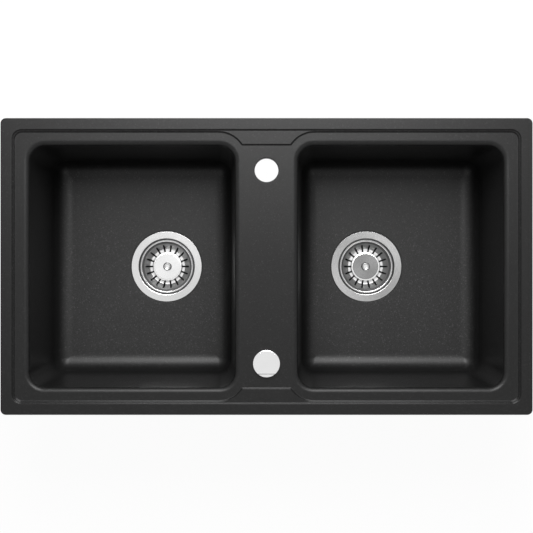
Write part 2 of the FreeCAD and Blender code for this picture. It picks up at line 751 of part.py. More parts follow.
def waste_bolt(side, x):
    body = new_body(f"{side}_waste_bolt", x=x, z=cup_floor)
    turn_profile(body, [
        (0, s.bolt_head_height),
        (s.bolt_head - s.bolt_head_bevel, s.bolt_head_height),
        (s.bolt_head, s.bolt_head_height - s.bolt_head_bevel),
        (s.bolt_head, 0),
        (s.bolt_radius, 0),
        (s.bolt_radius, s.sheet / 2 - s.bolt_length),
        (0, s.sheet / 2 - s.bolt_length),
    ])


basket_top = flange_top - s.neck_depth + s.basket_gap + 2 * s.basket_sheet
basket_floor = basket_top - s.basket_depth
plateau_top = basket_floor + s.basket_plateau_rise
plug_under = cup_floor + s.basket_gap
plug_plate_under = plug_under + s.plug_thickness


def basket(side, x):
    """Pressed basket: rolled rim, smooth shoulder, slotted wall and floor, raised middle."""
    body = new_body(f"{side}_basket", x=x)
    t = s.basket_sheet
    rim = s.neck_radius - s.basket_gap
    lip = seat_radius - s.basket_gap
    shoulder = basket_top - s.basket_shoulder_depth
    turn_profile(body, [
        (rim - t / 2, basket_top),
        (lip, basket_top - t / 2),
        (s.basket_shoulder + t, shoulder + t),
        (s.basket_shoulder, shoulder),
        (s.basket_bend, basket_floor + t),
        (s.basket_bend - t, basket_floor),
        (s.basket_plateau + t, basket_floor),
        (s.basket_plateau, plateau_top - t / 2),
        (s.basket_plateau - t / 2, plateau_top),
        (s.stem_radius + s.snug, plateau_top),
        (s.stem_radius + s.snug, plateau_top - t),
        (s.basket_plateau - t, plateau_top - t),
        (s.basket_plateau, basket_floor - t),
        (s.basket_bend, basket_floor - t),
        (s.basket_bend + t, basket_floor),
        (s.basket_shoulder + t, shoulder - t / 2),
        (s.basket_shoulder + 2 * t, shoulder),
        (lip, basket_top - 2 * t),
        (rim, basket_top - 2 * t),
        (rim, basket_top - t / 2),
    ])
    slot = new_sketch(body, "Slot", basket_top)
    draw_box(slot, s.slot_inner, s.slot_outer, -s.slot_width / 2, s.slot_width / 2)
    repeat_round(body, pocket(body, slot, s.basket_depth + 2 * t), s.slot_count)


def basket_knob(side, x):
    """Turned knob with a hollow top, whose stem runs through the basket to the plug plate."""
    body = new_body(f"{side}_basket_knob", x=x, z=plateau_top)
    foot = plug_plate_under - plateau_top
    shoulder = s.knob_height - s.knob_round
    turn_profile(body, [
        (0, shoulder),
        (s.knob_dimple, shoulder),
        (s.knob_dimple + s.knob_round, s.knob_height),
        (s.knob_radius - s.knob_round, s.knob_height),
        (s.knob_radius, shoulder),
        (s.knob_radius, s.knob_skirt),
        (s.knob_waist, s.knob_waist_height),
        (s.knob_waist, 0),
        (s.stem_radius, 0),
        (s.stem_radius, foot),
        (0, foot),
    ])


def plug(side, x):
    """Steel plate on the stem, and the rubber plug under it that closes the grate."""
    plate_top = plug_plate_under + s.plug_plate_thickness
    ring(f"{side}_plug_plate", s.stem_radius, s.plug_plate_radius, plate_top, s.plug_plate_thickness, x=x)
    ring(f"{side}_plug_seal", s.plug_eye, s.plug_radius, plug_plate_under, s.plug_thickness, x=x)


def strainer(side, sign):
    x = sign * drain_x
    turn = port_turn if sign < 0 else 180 - port_turn
    strainer_cup(side, x)
    ring(f"{side}_flange_gasket", s.mouth_radius + s.sheet, s.flange_radius, gasket_top,
         s.flange_gasket_thickness, x=x)
    ring(f"{side}_pot_gasket", s.drain_bore, s.pot_flange, boss_under, s.pot_gasket_thickness, x=x)
    waste_pot(side, x, turn)
    waste_bolt(side, x)
    basket(side, x)
    basket_knob(side, x)
    plug(side, x)


# ---- Overflow ------------------------------------------------------------------------------------------

hopper_top = pad_under - s.overflow_gasket_thickness
spigot_top = hopper_top - s.hopper_length - s.hopper_cone
spigot_end = spigot_top - s.spigot_length
pipe_inside = s.port_radius + s.snug
pipe_outside = pipe_inside + s.pipe_wall
pipe_run = hypotenuse(drain_x, overflow_y) - s.port_reach


def overflow_cap():
    """Round metal cap with a groove across its front, a water inlet in its skirt and three legs."""
    body = new_body("overflow_cap", y=overflow_y, z=deck_top)
    under = s.cap_height - s.cap_skin
    leg = s.bush_bore - s.cap_gap
    turn_profile(body, [
        (0, s.cap_height),
        (s.cap_radius - s.cap_edge, s.cap_height),
        (s.cap_radius, s.cap_height - s.cap_edge),
        (s.cap_radius, s.cap_gap),
        (s.cap_radius - s.cap_skirt, s.cap_gap),
        (s.cap_radius - s.cap_skirt, under),
        (leg, under),
        (leg, -s.cap_leg_depth),
        (leg - s.cap_leg_wall, -s.cap_leg_depth),
        (leg - s.cap_leg_wall, under),
        (0, under),
    ])
    window = new_sketch(body, "LegGap", -s.cap_leg_depth)
    draw_box(window, leg / 2, s.bush_bore, -s.cap_leg_spacing / 2, s.cap_leg_spacing / 2)
    repeat_round(body, pocket(body, window, s.cap_leg_depth + under, upwards=True), CAP_LEGS)
    front = new_sketch(body, "FrontLine", role="YZ_Plane")
    line_end = s.cap_line + s.cap_line_width
    line_foot = s.cap_height - s.cap_line_depth
    clear = s.cap_radius + s.cap_gap
    draw_outline(front, [
        (-s.cap_line, s.cap_height + s.cap_gap),
        (-s.cap_line, line_foot),
        (-line_end, line_foot),
        (-line_end, s.cap_height - s.cap_gap),
        (-clear, s.cap_height - s.cap_edge),
        (-clear, s.cap_height + s.cap_gap),
    ])
    pocket(body, front, 2 * clear, middle=True)
    inlet = new_sketch(body, "WaterInlet", s.cap_gap)
    draw_box(inlet, -s.mouth_width / 2, s.mouth_width / 2, -clear, -s.bush_bore)
    pocket(body, inlet, s.mouth_height, upwards=True)


def overflow_bush():
    body = new_body("overflow_bush", y=overflow_y, z=deck_top)
    foot = pad_under - s.bush_reach - deck_top
    turn_profile(body, [
        (s.bush_bore, s.bush_flange_thickness),
        (s.bush_flange, s.bush_flange_thickness),
        (s.bush_flange, 0),
        (s.bush_radius, 0),
        (s.bush_radius, foot),
        (s.bush_bore, foot),
    ])


def overflow_hopper():
    """Moulded hopper screwed up the bush from below, narrowing to the pipe's spigot."""
    body = new_body("overflow_hopper", y=overflow_y)
    thread = s.bush_radius + s.snug
    flange_foot = hopper_top - s.hopper_flange_thickness
    barrel_foot = hopper_top - s.hopper_length
    turn_profile(body, [
        (thread, hopper_top),
        (s.overflow_gasket_radius, hopper_top),
        (s.overflow_gasket_radius, flange_foot),
        (s.hopper_radius, flange_foot),
        (s.hopper_radius, barrel_foot),
        (s.port_radius, spigot_top),
        (s.port_radius, spigot_end),
        (s.port_bore, spigot_end),
        (s.port_bore, spigot_top),
        (thread, barrel_foot),
    ])


def overflow_pipe():
    """Rigid moulded pipe, from the hopper down between the bowls and across to the left waste pot."""
    body = new_body("overflow_pipe", y=overflow_y, turn=180 + port_turn)
    top = spigot_end + s.pipe_overlap
    far = pipe_run + s.pipe_overlap
    spine = new_sketch(body, "Spine", role="XZ_Plane")
    bend = s.pipe_bend
    r, foot, axis = bend.number, (port_axis + bend).number, port_axis.number
    upright = spine.addGeometry(straight(0, top.number, 0, foot))
    elbow = spine.addGeometry(arc(r, foot, r, 2 * QUARTER, 3 * QUARTER))
    level = spine.addGeometry(straight(r, axis, far.number, axis))
    spine.addConstraint(Sketcher.Constraint("Tangent", upright, 2, elbow, 1))
    spine.addConstraint(Sketcher.Constraint("Tangent", elbow, 2, level, 1))
    spine.addConstraint(Sketcher.Constraint("Horizontal", level))
    dimension(spine, "Radius", bend, elbow)
    place_point(spine, upright, 1, 0, top)
    spine.addConstraint(Sketcher.Constraint("PointOnObject", upright, 2, -2))
    place_point(spine, level, 2, far, port_axis)
    for kind, radius in (("AdditivePipe", pipe_outside), ("SubtractivePipe", pipe_inside)):
        section = new_sketch(body, "Section", top)
        draw_circle(section, radius)
        pipe = body.newObject(f"PartDesign::{kind}", kind)
        pipe.Profile = section
        pipe.Spine = (spine, ["Edge1", "Edge2", "Edge3"])
        finish_feature(body, pipe)


def overflow_clips():
    """The two spring bands that close the pipe on its spigots."""
    outer = pipe_outside + s.clip_thickness
    ring("overflow_upper_clip", pipe_outside, outer, spigot_end + s.pipe_overlap - s.clip_setback,
         s.clip_width, y=overflow_y)
    body = new_body("overflow_lower_clip", x=-drain_x, turn=port_turn)
    band = new_sketch(body, "Band", s.port_reach - s.pipe_overlap + s.clip_setback, role="YZ_Plane")
    draw_circle(band, outer, 0, port_axis)
    draw_circle(band, pipe_outside, 0, port_axis)
    pad(body, band, s.clip_width)


def port_cap():
    """Blanking cap on the right pot's unused overflow port."""
    body = new_body("port_cap", x=drain_x, turn=180 - port_turn)
    start = s.port_reach - s.port_cap_reach
    shell = new_sketch(body, "Shell", start, role="YZ_Plane")
    draw_circle(shell, pipe_inside + s.port_cap_wall, 0, port_axis)
    pad(body, shell, s.port_cap_reach + s.port_cap_wall)
    hollow = new_sketch(body, "Hollow", start, role="YZ_Plane")
    draw_circle(hollow, pipe_inside, 0, port_axis)
    pocket(body, hollow, s.port_cap_reach, upwards=True)


# ---- Worktop clamps ------------------------------------------------------------------------------------

strap_top = -s.worktop - s.strap_tooth
strap_under = strap_top - s.strap_thickness


def clamp_inserts():
    """Threaded brass inserts, one pressed into each boss."""
    body = new_body("clamp_inserts", several=True)
    add_discs(body, "Pad", s.insert_radius, clamp_places(), -s.boss_height, s.insert_length, upwards=True)
    add_discs(body, "Pocket", s.screw_radius + s.snug, clamp_places(), -s.boss_height, s.insert_length,
              upwards=True)


def clamp_screws():
    body = new_body("clamp_screws", several=True)
    tip = s.insert_length - s.boss_height
    add_discs(body, "Pad", s.screw_head, clamp_places(), strap_under, s.screw_head_height, upwards=False)
    add_discs(body, "Pad", s.screw_radius, clamp_places(), strap_under, tip - strap_under, upwards=True)


def clamp_strap(label, x, y, heading):
    """Bent steel strap: its heel bears on the boss, its toothed tip grips under the worktop."""
    body = new_body(label, x=x, y=y, turn=heading)
    heel_top = -s.boss_height - s.strap_gap
    side = new_sketch(body, "SideView", role="XZ_Plane")
    draw_outline(side, [
        (-s.strap_heel, strap_under),
        (s.strap_reach, strap_under),
        (s.strap_reach, strap_top + s.strap_tooth - s.strap_gap),
        (s.strap_reach - s.strap_thickness, strap_top + s.strap_tooth - s.strap_gap),
        (s.strap_reach - s.strap_thickness, strap_top),
        (s.strap_thickness - s.strap_heel, strap_top),
        (s.strap_thickness - s.strap_heel, heel_top),
        (-s.strap_heel, heel_top),
    ])
    pad(body, side, s.strap_width, middle=True)
    hole = new_sketch(body, "ScrewHole", strap_top)
    draw_circle(hole, s.screw_radius + s.strap_gap)
    pocket(body, hole, s.strap_thickness)


# ---- Build, check and write ----------------------------------------------------------------------------

sink_body()
rim_seal()
for side, sign in SIDES:
    strainer(side, sign)
overflow_cap()
overflow_bush()
ring("overflow_gasket", s.overflow_bore, s.overflow_gasket_radius, pad_under, s.overflow_gasket_thickness,
     y=overflow_y)
overflow_hopper()
overflow_pipe()
overflow_clips()
port_cap()
clamp_inserts()
clamp_screws()
for label, place in CLAMP_PLACES.items():
    clamp_strap(label, *place)
doc.recompute()

for item in doc.Objects:
    if "Invalid" in item.State or "Error" in item.State:
        raise RuntimeError(f"{item.Label} could not be built: {item.State}")
os.makedirs("parts", exist_ok=True)
for body in bodies:
    if body.Shape.isNull() or not body.Shape.isValid():
        raise RuntimeError(f"{body.Label} has no valid shape")
for body in bodies:
    body.Shape.exportStep(f"parts/{body.Label}.step")
    print(f"{body.Label}: {len(body.Shape.Solids)} solid, {body.Shape.Volume / 1000:.2f} cm3")
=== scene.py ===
import math

import bmesh
import bpy
from mathutils import Matrix, Vector
from mathutils.geometry import tessellate_polygon


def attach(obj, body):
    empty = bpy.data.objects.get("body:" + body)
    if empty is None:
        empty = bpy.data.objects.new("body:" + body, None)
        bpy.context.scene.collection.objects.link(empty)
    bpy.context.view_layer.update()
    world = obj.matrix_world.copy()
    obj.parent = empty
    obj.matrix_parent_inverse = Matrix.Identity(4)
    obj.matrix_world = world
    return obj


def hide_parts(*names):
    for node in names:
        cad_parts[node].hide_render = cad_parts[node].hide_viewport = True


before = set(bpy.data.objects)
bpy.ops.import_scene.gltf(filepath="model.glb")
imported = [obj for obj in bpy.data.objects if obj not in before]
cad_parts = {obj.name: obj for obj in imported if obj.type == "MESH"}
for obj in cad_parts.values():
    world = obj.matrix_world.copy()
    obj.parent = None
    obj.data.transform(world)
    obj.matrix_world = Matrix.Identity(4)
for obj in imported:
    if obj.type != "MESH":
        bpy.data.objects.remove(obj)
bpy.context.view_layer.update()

# ---- The view ------------------------------------------------------------------------------------------
# The sink lies flat and is seen from straight above its middle, with the tap hole at the top of the picture.
# A long lens from nearly two metres up shows a little of each bowl's outer walls.
view = bpy.data.objects.new("view_from_above", bpy.data.cameras.new("view_from_above"))
view.data.sensor_width = 36
view.data.lens = 87.6
view.location = (0, 0, 1.911)
bpy.context.collection.objects.link(view)
bpy.context.scene.camera = view
bpy.context.scene.view_settings.view_transform = "Standard"

# ---- The casting ---------------------------------------------------------------------------------------
# One casting of black quartz sand in resin: raised rim, two soft steps, deck with a tap hole, two deep bowls.
# Out of its two-part mould every edge is eased, the walls lean in, and the surface is finely grained.

# A rounding takes up to this share of a stretch between two corners, and more at a profile's ends.
INNER_SHARE, END_SHARE = 0.46, 0.9
# An extra point this many times the rounding's reach from a corner keeps what lies beyond it flat.
HOLD_FLAT = 1.1


def eased(corners, bend=9):
    """Points of a profile through (across, up, radius) corners, each rounded and held flat on both sides."""
    places = [Vector(corner[:2]) for corner in corners]
    points = [places[0]]
    for number in range(1, len(places) - 1):
        here, radius = places[number], corners[number][2]
        back, on = places[number - 1] - here, places[number + 1] - here
        half = back.angle(on) / 2
        back_share = END_SHARE if number == 1 else INNER_SHARE
        on_share = END_SHARE if number == len(places) - 2 else INNER_SHARE
        room = min(back.length * back_share, on.length * on_share)
        reach = min(radius / math.tan(half), room)
        hold = HOLD_FLAT * reach
        centre = here + (back.normalized() + on.normalized()).normalized() * (reach / math.cos(half))
        turn = math.pi - 2 * half
        steps = max(2, math.ceil(math.degrees(turn) / bend))
        arm = here + back.normalized() * reach - centre
        way = -1 if back.x * on.y - back.y * on.x > 0 else 1
        points.append(here + back.normalized() * hold)
        for step in range(steps + 1):
            angle = way * turn * step / steps
            swung = Vector((arm.x * math.cos(angle) - arm.y * math.sin(angle),
                            arm.x * math.sin(angle) + arm.y * math.cos(angle)))
            points.append(centre + swung)
        points.append(here + on.normalized() * hold)
    return points + [places[-1]]


def swing(x, y, radius, start, end, steps):
    """Points on an arc about (x, y), between two angles in degrees."""
    angles = [math.radians(start + (end - start) * step / steps) for step in range(steps + 1)]
    return [(x + radius * math.cos(angle), y + radius * math.sin(angle)) for angle in angles]


def raised(plan, z):
    return [Vector((x, y, z)) for x, y in plan]


def oblong(x, half_length, half_width, corner, z, steps=16):
    """A ring in the shape of a rectangle with round corners."""
    plan = []
    for turn, (right, back) in enumerate(((1, 1), (-1, 1), (-1, -1), (1, -1))):
        plan += swing(x + right * (half_length - corner), back * (half_width - corner), corner,
                      90 * turn, 90 * turn + 90, steps)
    return raised(plan, z)


def circle(x, y, radius, z, count=96):
    return raised(swing(x, y, radius, 0, 360, count)[:-1], z)


def skin(bm, rings, closed=False):
    """Faces from each ring of points to the next. Gives the vertices of the first and the last ring."""
    rows = [[bm.verts.new(point) for point in ring] for ring in rings]
    for lower, upper in zip(rows, rows[1:] + (rows[:1] if closed else [])):
        for here in range(len(lower)):
            after = (here + 1) % len(lower)
            bm.faces.new((lower[here], lower[after], upper[after], upper[here]))
    return rows[0], rows[-1]


def fill(bm, loops):
    """A flat face inside the first loop of vertices and outside the others."""
    vertices = [vertex for loop in loops for vertex in loop]
    for corners in tessellate_polygon([[vertex.co for vertex in loop] for loop in loops]):
        bm.faces.new([vertices[corner] for corner in corners])


# Meshes are built in millimetres, and edges that turn by more than this angle stay sharp.
MM = 0.001
CREASE = math.radians(42)


def made(bm, name, finish):
    """The object for a closed mesh that was built in millimetres."""
    bmesh.ops.remove_doubles(bm, verts=bm.verts, dist=1e-4)
    bmesh.ops.recalc_face_normals(bm, faces=bm.faces)
    bmesh.ops.scale(bm, verts=bm.verts, vec=(MM, MM, MM))
    mesh = bpy.data.meshes.new(name)
    bm.to_mesh(mesh)
    bm.free()
    mesh.shade_smooth()
    mesh.set_sharp_from_angle(angle=CREASE)
    mesh.materials.append(finish)
    piece = bpy.data.objects.new(name, mesh)
    bpy.context.collection.objects.link(piece)
    return piece


class Wire:
    """A value on its way through a material. A sum written with it adds the nodes that work it out."""

    def __init__(self, tree, socket=None):
        self.tree = tree
        self.socket = socket

    def node(self, kind, settings, inputs, out=0):
        made_node = self.tree.nodes.new("ShaderNode" + kind)
        for name, value in settings.items():
            setattr(made_node, name, value)
        for name, value in inputs.items():
            if isinstance(value, Wire):
                self.tree.links.new(value.socket, made_node.inputs[name])
            else:
                made_node.inputs[name].default_value = value
        return Wire(self.tree, made_node.outputs[out])

    def maths(self, operation, *values):
        return self.node("Math", {"operation": operation}, dict(enumerate(values)))

    def __add__(self, other):
        return self.maths("ADD", self, other)

    def __radd__(self, other):
        return self.maths("ADD", other, self)

    def __sub__(self, other):
        return self.maths("SUBTRACT", self, other)

    def __rsub__(self, other):
        return self.maths("SUBTRACT", other, self)

    def __mul__(self, other):
        return self.maths("MULTIPLY", self, other)

    def between(self, low, high, to_low=0.0, to_high=1.0):
        """This value carried over from one range to another, level outside it."""
        return self.node("MapRange", {"clamp": True}, {"Value": self, "From Min": low, "From Max": high,
                                                       "To Min": to_low, "To Max": to_high})

    def blend(self, low, high):
        """A colour between two others, by this value."""
        return self.node("Mix", {"data_type": "RGBA"}, {0: self, 6: low, 7: high}, out=2)

    def bump(self, strength, distance):
        return self.node("Bump", {}, {"Height": self, "Strength": strength, "Distance": distance})


def grey(level, warmth=0.0):
    return (level * (1 + warmth), level, level * (1 - warmth), 1)


def new_finish(name, **sockets):
    """A material, its shader with some sockets set, and the object's own coordinates."""
    material = bpy.data.materials.new(name)
    material.use_nodes = True
    shader = material.node_tree.nodes["Principled BSDF"]
    for socket, value in sockets.items():
        shader.inputs[socket.replace("_", " ")].default_value = value
    place = Wire(material.node_tree).node("TexCoord", {}, {}, out="Object")
    return material, shader, place


def feed(shader, **wires):
    for socket, wire in wires.items():
        wire.tree.links.new(wire.socket, shader.inputs[socket.replace("_", " ")])


def noise(place, scale, detail=2.0, roughness=0.5):
    return place.node("TexNoise", {}, {
        "Vector": place, "Scale": scale, "Detail": detail, "Roughness": roughness,
    })


def grains(place, scale):
    """A steady random number for each grain of a packed bed of them."""
    colour = place.node("TexVoronoi", {}, {"Vector": place, "Scale": scale}, out="Color")
    return colour.node("SeparateColor", {}, {"Color": colour})


def quartz(name, gloss, roughness):
    """Black quartz sand in resin, painted paler on the bowls' floors as painted light."""
    granite, shader, place = new_finish(name, Specular_IOR_Level=gloss)
    sand = grains(place, 1500)
    flecks = grains(place, 620).between(0.93, 0.99)
    glints = grains(place, 900).between(0.985, 0.995)
    clouds = noise(place, 9, 3)
    height = place.node("SeparateXYZ", {}, {0: place}, out="Z")
    bed = sand.between(0.4, 1.0) * 0.005 + clouds * 0.002 + 0.004
    # Painted light: the bowls' floors get up to 2.6 times the tone of the rest.
    painted_floor_light = height.between(-0.168, -0.178, 1.0, 2.6)
    lit = (bed + flecks * 0.007 + glints * 0.013) * painted_floor_light
    feed(
        shader,
        Base_Color=lit.blend(grey(0.0), grey(1.0)),
        Roughness=roughness + sand * 0.1 - glints * 0.1,
        Normal=(noise(place, 1700, 2) * 0.7 + sand * 0.3).bump(0.2, 0.0002),
    )
    return granite


granite = quartz("black_quartz_granite", 0.22, 0.33)

# Half the sink's length and width, and the levels of its faces above and below the worktop.
HALF_LENGTH, HALF_WIDTH = 390, 217.5
RIM_TOP, LEDGE, DECK, FLOOR, UNDERSIDE = 11, 9.7, 8.4, -179, -188
# Corner radii in plan, as they would be at the outline: of the rim, the groove under it and the first step.
RIM_CORNER, GROOVE_CORNER, STEP_CORNER = 8, 13, 30.9
# The groove starts, the rim's corner gives way and the step's corner takes over this far in from the outline.
GROOVE_EDGE, RIM_CORNER_ENDS, STEP_CORNER_STARTS = 2.6, 3, 15


def rim_corner(inset, z):
    """The plan corner of a ring: tight outside, wider at the first step, and set by the groove underneath."""
    if z < 3:
        if inset >= GROOVE_EDGE:
            return GROOVE_CORNER - inset
        return RIM_CORNER + (GROOVE_CORNER - GROOVE_EDGE - RIM_CORNER) * inset / GROOVE_EDGE
    if inset < RIM_CORNER_ENDS:
        return RIM_CORNER - inset
    if inset >= STEP_CORNER_STARTS:
        return STEP_CORNER - inset
    first, last = RIM_CORNER - RIM_CORNER_ENDS, STEP_CORNER - STEP_CORNER_STARTS
    return first + (inset - RIM_CORNER_ENDS) * (last - first) / (STEP_CORNER_STARTS - RIM_CORNER_ENDS)


bm = bmesh.new()
rim_profile = eased([
    (8.6, 0, 0), (7.6, 0, 0.3), (7.6, 2, 0.3), (2.6, 2, 0.3), (2.6, 0, 0.3), (0, 0, 0.9), (0, RIM_TOP, 1.1),
    (16.1, RIM_TOP, 1.5), (18.2, LEDGE, 1.5), (18.55, LEDGE, 0),
])
groove_loop, ledge_loop = skin(bm, [
    oblong(0, HALF_LENGTH - inset, HALF_WIDTH - inset, rim_corner(inset, z), z) for inset, z in rim_profile
])


def deck_ring(inward, z):
    """The second step: it comes forward beside each hole, and sweeps back round the bowls' corners."""
    side, back, corner = 370.7, 198.2, 12.3
    nose_x, nose_y, nose, sweep = 34.5, 181.3, 2, 42
    sweep_y = back - sweep
    sweep_x = nose_x + math.sqrt((sweep + nose) ** 2 - (nose_y - sweep_y) ** 2)
    swept = math.degrees(math.atan2(nose_y - sweep_y, sweep_x - nose_x))
    half = (
        swing(side - corner, back - corner, corner - inward, 0, 90, 16)
        + swing(sweep_x, sweep_y, sweep - inward, 90, 180 - swept, 20)
        + swing(nose_x, nose_y, nose + inward, -swept, -90, 7)
        + swing(-nose_x, nose_y, nose + inward, -90, swept - 180, 7)
        + swing(-sweep_x, sweep_y, sweep - inward, swept, 90, 20)
        + swing(corner - side, back - corner, corner - inward, 90, 180, 16)
    )
    return raised(half + [(-x, -y) for x, y in half], z)


step_profile = eased([(-0.66, LEDGE, 0), (-0.5, LEDGE, 1.5), (1.8, DECK, 1.5), (2.6, DECK, 0)])
step_loop, deck_loop = skin(bm, [deck_ring(inward, z) for inward, z in step_profile])
fill(bm, [ledge_loop, step_loop])


# The middles of the bowls and of their drains, left and right of the sink's own middle.
BOWLS = {"left": -197.5, "right": 197.5}
DRAINS = {"left": -160.9, "right": 160.9}
# From the mouth to the floor a bowl's wall leans in by this much, and its corners tighten by this much.
LEAN, TIGHTENS = 11, 2
MOUTH_HALF_LENGTH, MOUTH_HALF_WIDTH, MOUTH_CORNER = 151.2, 177.8, 23
INSIDE_DEPTH = RIM_TOP - FLOOR
# The outside leans over its own height, from these values at its foot.
OUTSIDE_HEIGHT, FOOT_LEAN, FOOT_CORNER = 192.2, 3, 29


def bowl_ring(x, inward, z, lean, corner):
    """A ring of a bowl's wall, drawn in from the mouth, whose corner tightens where it leaves the wall."""
    corner = max(corner - (inward - lean), 1)
    return oblong(x, MOUTH_HALF_LENGTH - inward, MOUTH_HALF_WIDTH - inward, corner, z)


def inside_ring(x, inward, z):
    down = RIM_TOP - z
    return bowl_ring(x, inward, z, LEAN * down / INSIDE_DEPTH, MOUTH_CORNER - TIGHTENS * down / INSIDE_DEPTH)


def outside_ring(x, inward, z):
    up = z - UNDERSIDE
    return bowl_ring(x, inward, z, FOOT_LEAN - LEAN * up / OUTSIDE_HEIGHT,
                     FOOT_CORNER + TIGHTENS * up / OUTSIDE_HEIGHT)


deck_holes, under_holes = [], []
for side, drain in DRAINS.items():
    inside = eased([(-9.6, DECK, 0), (0.15, DECK, 8), (LEAN, FLOOR, 27.5), (40.5, FLOOR, 0)], bend=6)
    mouth, foot = skin(bm, [inside_ring(BOWLS[side], inward, z) for inward, z in inside])
    outside = eased([(-9.6, 0, 0), (-7.76, 0, 1.5), (FOOT_LEAN, UNDERSIDE, 28), (31.2, UNDERSIDE, 0)], bend=7)
    shoulder, base = skin(bm, [outside_ring(BOWLS[side], inward, z) for inward, z in outside])
    drain_profile = eased([
        (60, FLOOR, 0), (57.5, FLOOR, 0.7), (57.5, -181.2, 0.3), (45, -181.2, 0.5), (45, -192, 0.5),
        (64, -192, 1.5), (64, UNDERSIDE, 1.2), (66.5, UNDERSIDE, 0),
    ])
    recess, boss = skin(bm, [circle(drain, 0, radius, z) for radius, z in drain_profile])
    fill(bm, [foot, recess])
    fill(bm, [base, boss])
    deck_holes.append(mouth)
    under_holes.append(shoulder)

TAP_HOLE_Y, TAP_HOLE_RADIUS = 141.5, 17.5
OVERFLOW_Y, OVERFLOW_RADIUS = -142.2, 16
for y, radius in ((TAP_HOLE_Y, TAP_HOLE_RADIUS), (OVERFLOW_Y, OVERFLOW_RADIUS)):
    hole_profile = eased([
        (radius + 2.6, DECK, 0), (radius, DECK, 1.2), (radius, -4, 0.6), (29, -4, 1.5), (29, 0, 1.5),
        (31.5, 0, 0),
    ])
    above, below = skin(bm, [circle(0, y, across, z) for across, z in hole_profile])
    deck_holes.append(above)
    under_holes.append(below)

# Where each worktop clamp is screwed to its boss, and the heading of its strap at rest.
CLAMP_PLACES = {
    "front_left": (-230, -197.5, 0), "front_middle": (0, -197.5, 0), "front_right": (230, -197.5, 180),
    "back_left": (-230, 197.5, 0), "back_middle": (0, 197.5, 0), "back_right": (230, 197.5, 180),
    "left": (-370, 0, 90), "right": (370, 0, 90),
}
for x, y, _ in CLAMP_PLACES.values():
    boss_profile = eased([
        (9.6, 0, 0), (8, 0, 1), (8, -12, 0.7), (4, -12, 0.3), (4, -2, 0.3), (0, -2, 0),
    ], bend=22)
    foot, _ = skin(bm, [circle(x, y, across, z, 32) for across, z in boss_profile])
    under_holes.append(foot)

fill(bm, [deck_loop] + deck_holes)
fill(bm, [groove_loop] + under_holes)
casting = made(bm, "granite_casting", granite)
# The steps' slopes are smoother than the level faces and mirror less.
casting.data.materials.append(quartz("step_granite", 0.10, 0.2))
for face in casting.data.polygons:
    between_levels = (DECK + 0.1) * MM < face.center.z < (RIM_TOP - 0.1) * MM
    if between_levels and 0.6 < face.normal.z < 0.985:
        face.material_index = 1
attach(casting, "sink")
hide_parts("sink_body")

# ---- The rim's seal ------------------------------------------------------------------------------------
# A strip of closed-cell foam in the groove under the rim. It keeps splashes from running under the sink.
foam, shader, place = new_finish("closed_cell_foam", Specular_IOR_Level=0.2, Roughness=0.9)
cells = noise(place, 1400, 2)
feed(shader, Base_Color=cells.blend(grey(0.008), grey(0.03)), Normal=cells.bump(0.5, 0.0003))


def dress(node, finish):
    """Gives a solid that stays as it is its finish."""
    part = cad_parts[node]
    part.data.materials.clear()
    part.data.materials.append(finish)


dress("rim_seal", foam)

# ---- The strainer cups ---------------------------------------------------------------------------------
# Each drain has a deep cup pressed from one sheet of stainless steel: a wide flange in a shallow recess, a
# neck, a ledge for the basket's rim, and a grated bottom for the bolt. The flange is brushed round and round.


def turned(bm, profile, x=0, y=0, count=96, closed=True):
    """A solid turned about an upright axis, from an eased profile."""
    return skin(bm, [circle(x, y, max(radius, 0), z, count) for radius, z in profile], closed)


# The marks change this fast on their way round, and the painted highlight fans, standing in for the light
# fans of turned steel, lie along this heading.
MARKS_ROUND, PAINTED_FAN_WAY = 7.0, (0.8, 0.6, 0)
# A zone fades out over this much height and this much radius, in metres.
ZONE_FADE, ZONE_INNER_FADE = 0.0006, 0.0004


def brushed(name, x, low, high, roughness, fine=2600, depth=0.16, painted_fans=0.0, painted_shade_zones=()):
    """Stainless steel brushed in circles about an upright axis at x, with painted highlight fans and some
    duller zones of painted shade.

    Each zone of painted shade is a band (foot, top, out_from, tone, rougher) in metres, from a radius
    outward, that darkens the colour, roughens the steel, and fades out at its edges.
    """
    steel, shader, place = new_finish(name, Metallic=1.0)
    centred = place.node("Mapping", {}, {"Vector": place, "Location": (-x * MM, 0, 0)})
    flat = place.node("VectorMath", {"operation": "MULTIPLY"}, {0: centred, 1: (1, 1, 0)})
    heading = place.node("VectorMath", {"operation": "NORMALIZE"}, {0: flat})
    height = place.node("SeparateXYZ", {}, {0: centred}, out="Z")
    outward = place.node("VectorMath", {"operation": "LENGTH"}, {0: flat}, out="Value")
    along = place.node("VectorMath", {"operation": "SCALE"}, {0: heading, "Scale": MARKS_ROUND})
    across = place.node("CombineXYZ", {}, {"Z": (outward + height) * fine})
    track = place.node("VectorMath", {"operation": "ADD"}, {0: along, 1: across})
    marks = noise(track, 1.0, 3, 0.6)
    facing = place.node("VectorMath", {"operation": "DOT_PRODUCT"}, {0: heading, 1: PAINTED_FAN_WAY}, out="Value")
    # Painted highlight: the colour lightens in two opposite fans round the axis, standing in for the sheen of
    # turned steel.
    shade = marks.between(0.25, 0.75) * (1 - painted_fans) + facing * facing * painted_fans
    colour = shade.blend(low, high)
    satin = roughness + marks * 0.12
    # Each zone darkens the colour towards its tone: painted shade.
    for foot, top, out_from, tone, rougher in painted_shade_zones:
        band = height.between(foot - ZONE_FADE, foot) * height.between(top, top + ZONE_FADE, 1.0, 0.0)
        band = band * outward.between(out_from, out_from + ZONE_INNER_FADE)
        colour = band.blend(colour, grey(tone))
        satin = satin + band * rougher
    feed(
        shader,
        Base_Color=colour,
        Roughness=satin,
        Normal=marks.bump(depth, 0.0001),
    )
    return steel


CUP_FLOOR, CUP_UNDERSIDE = -221, -221.8
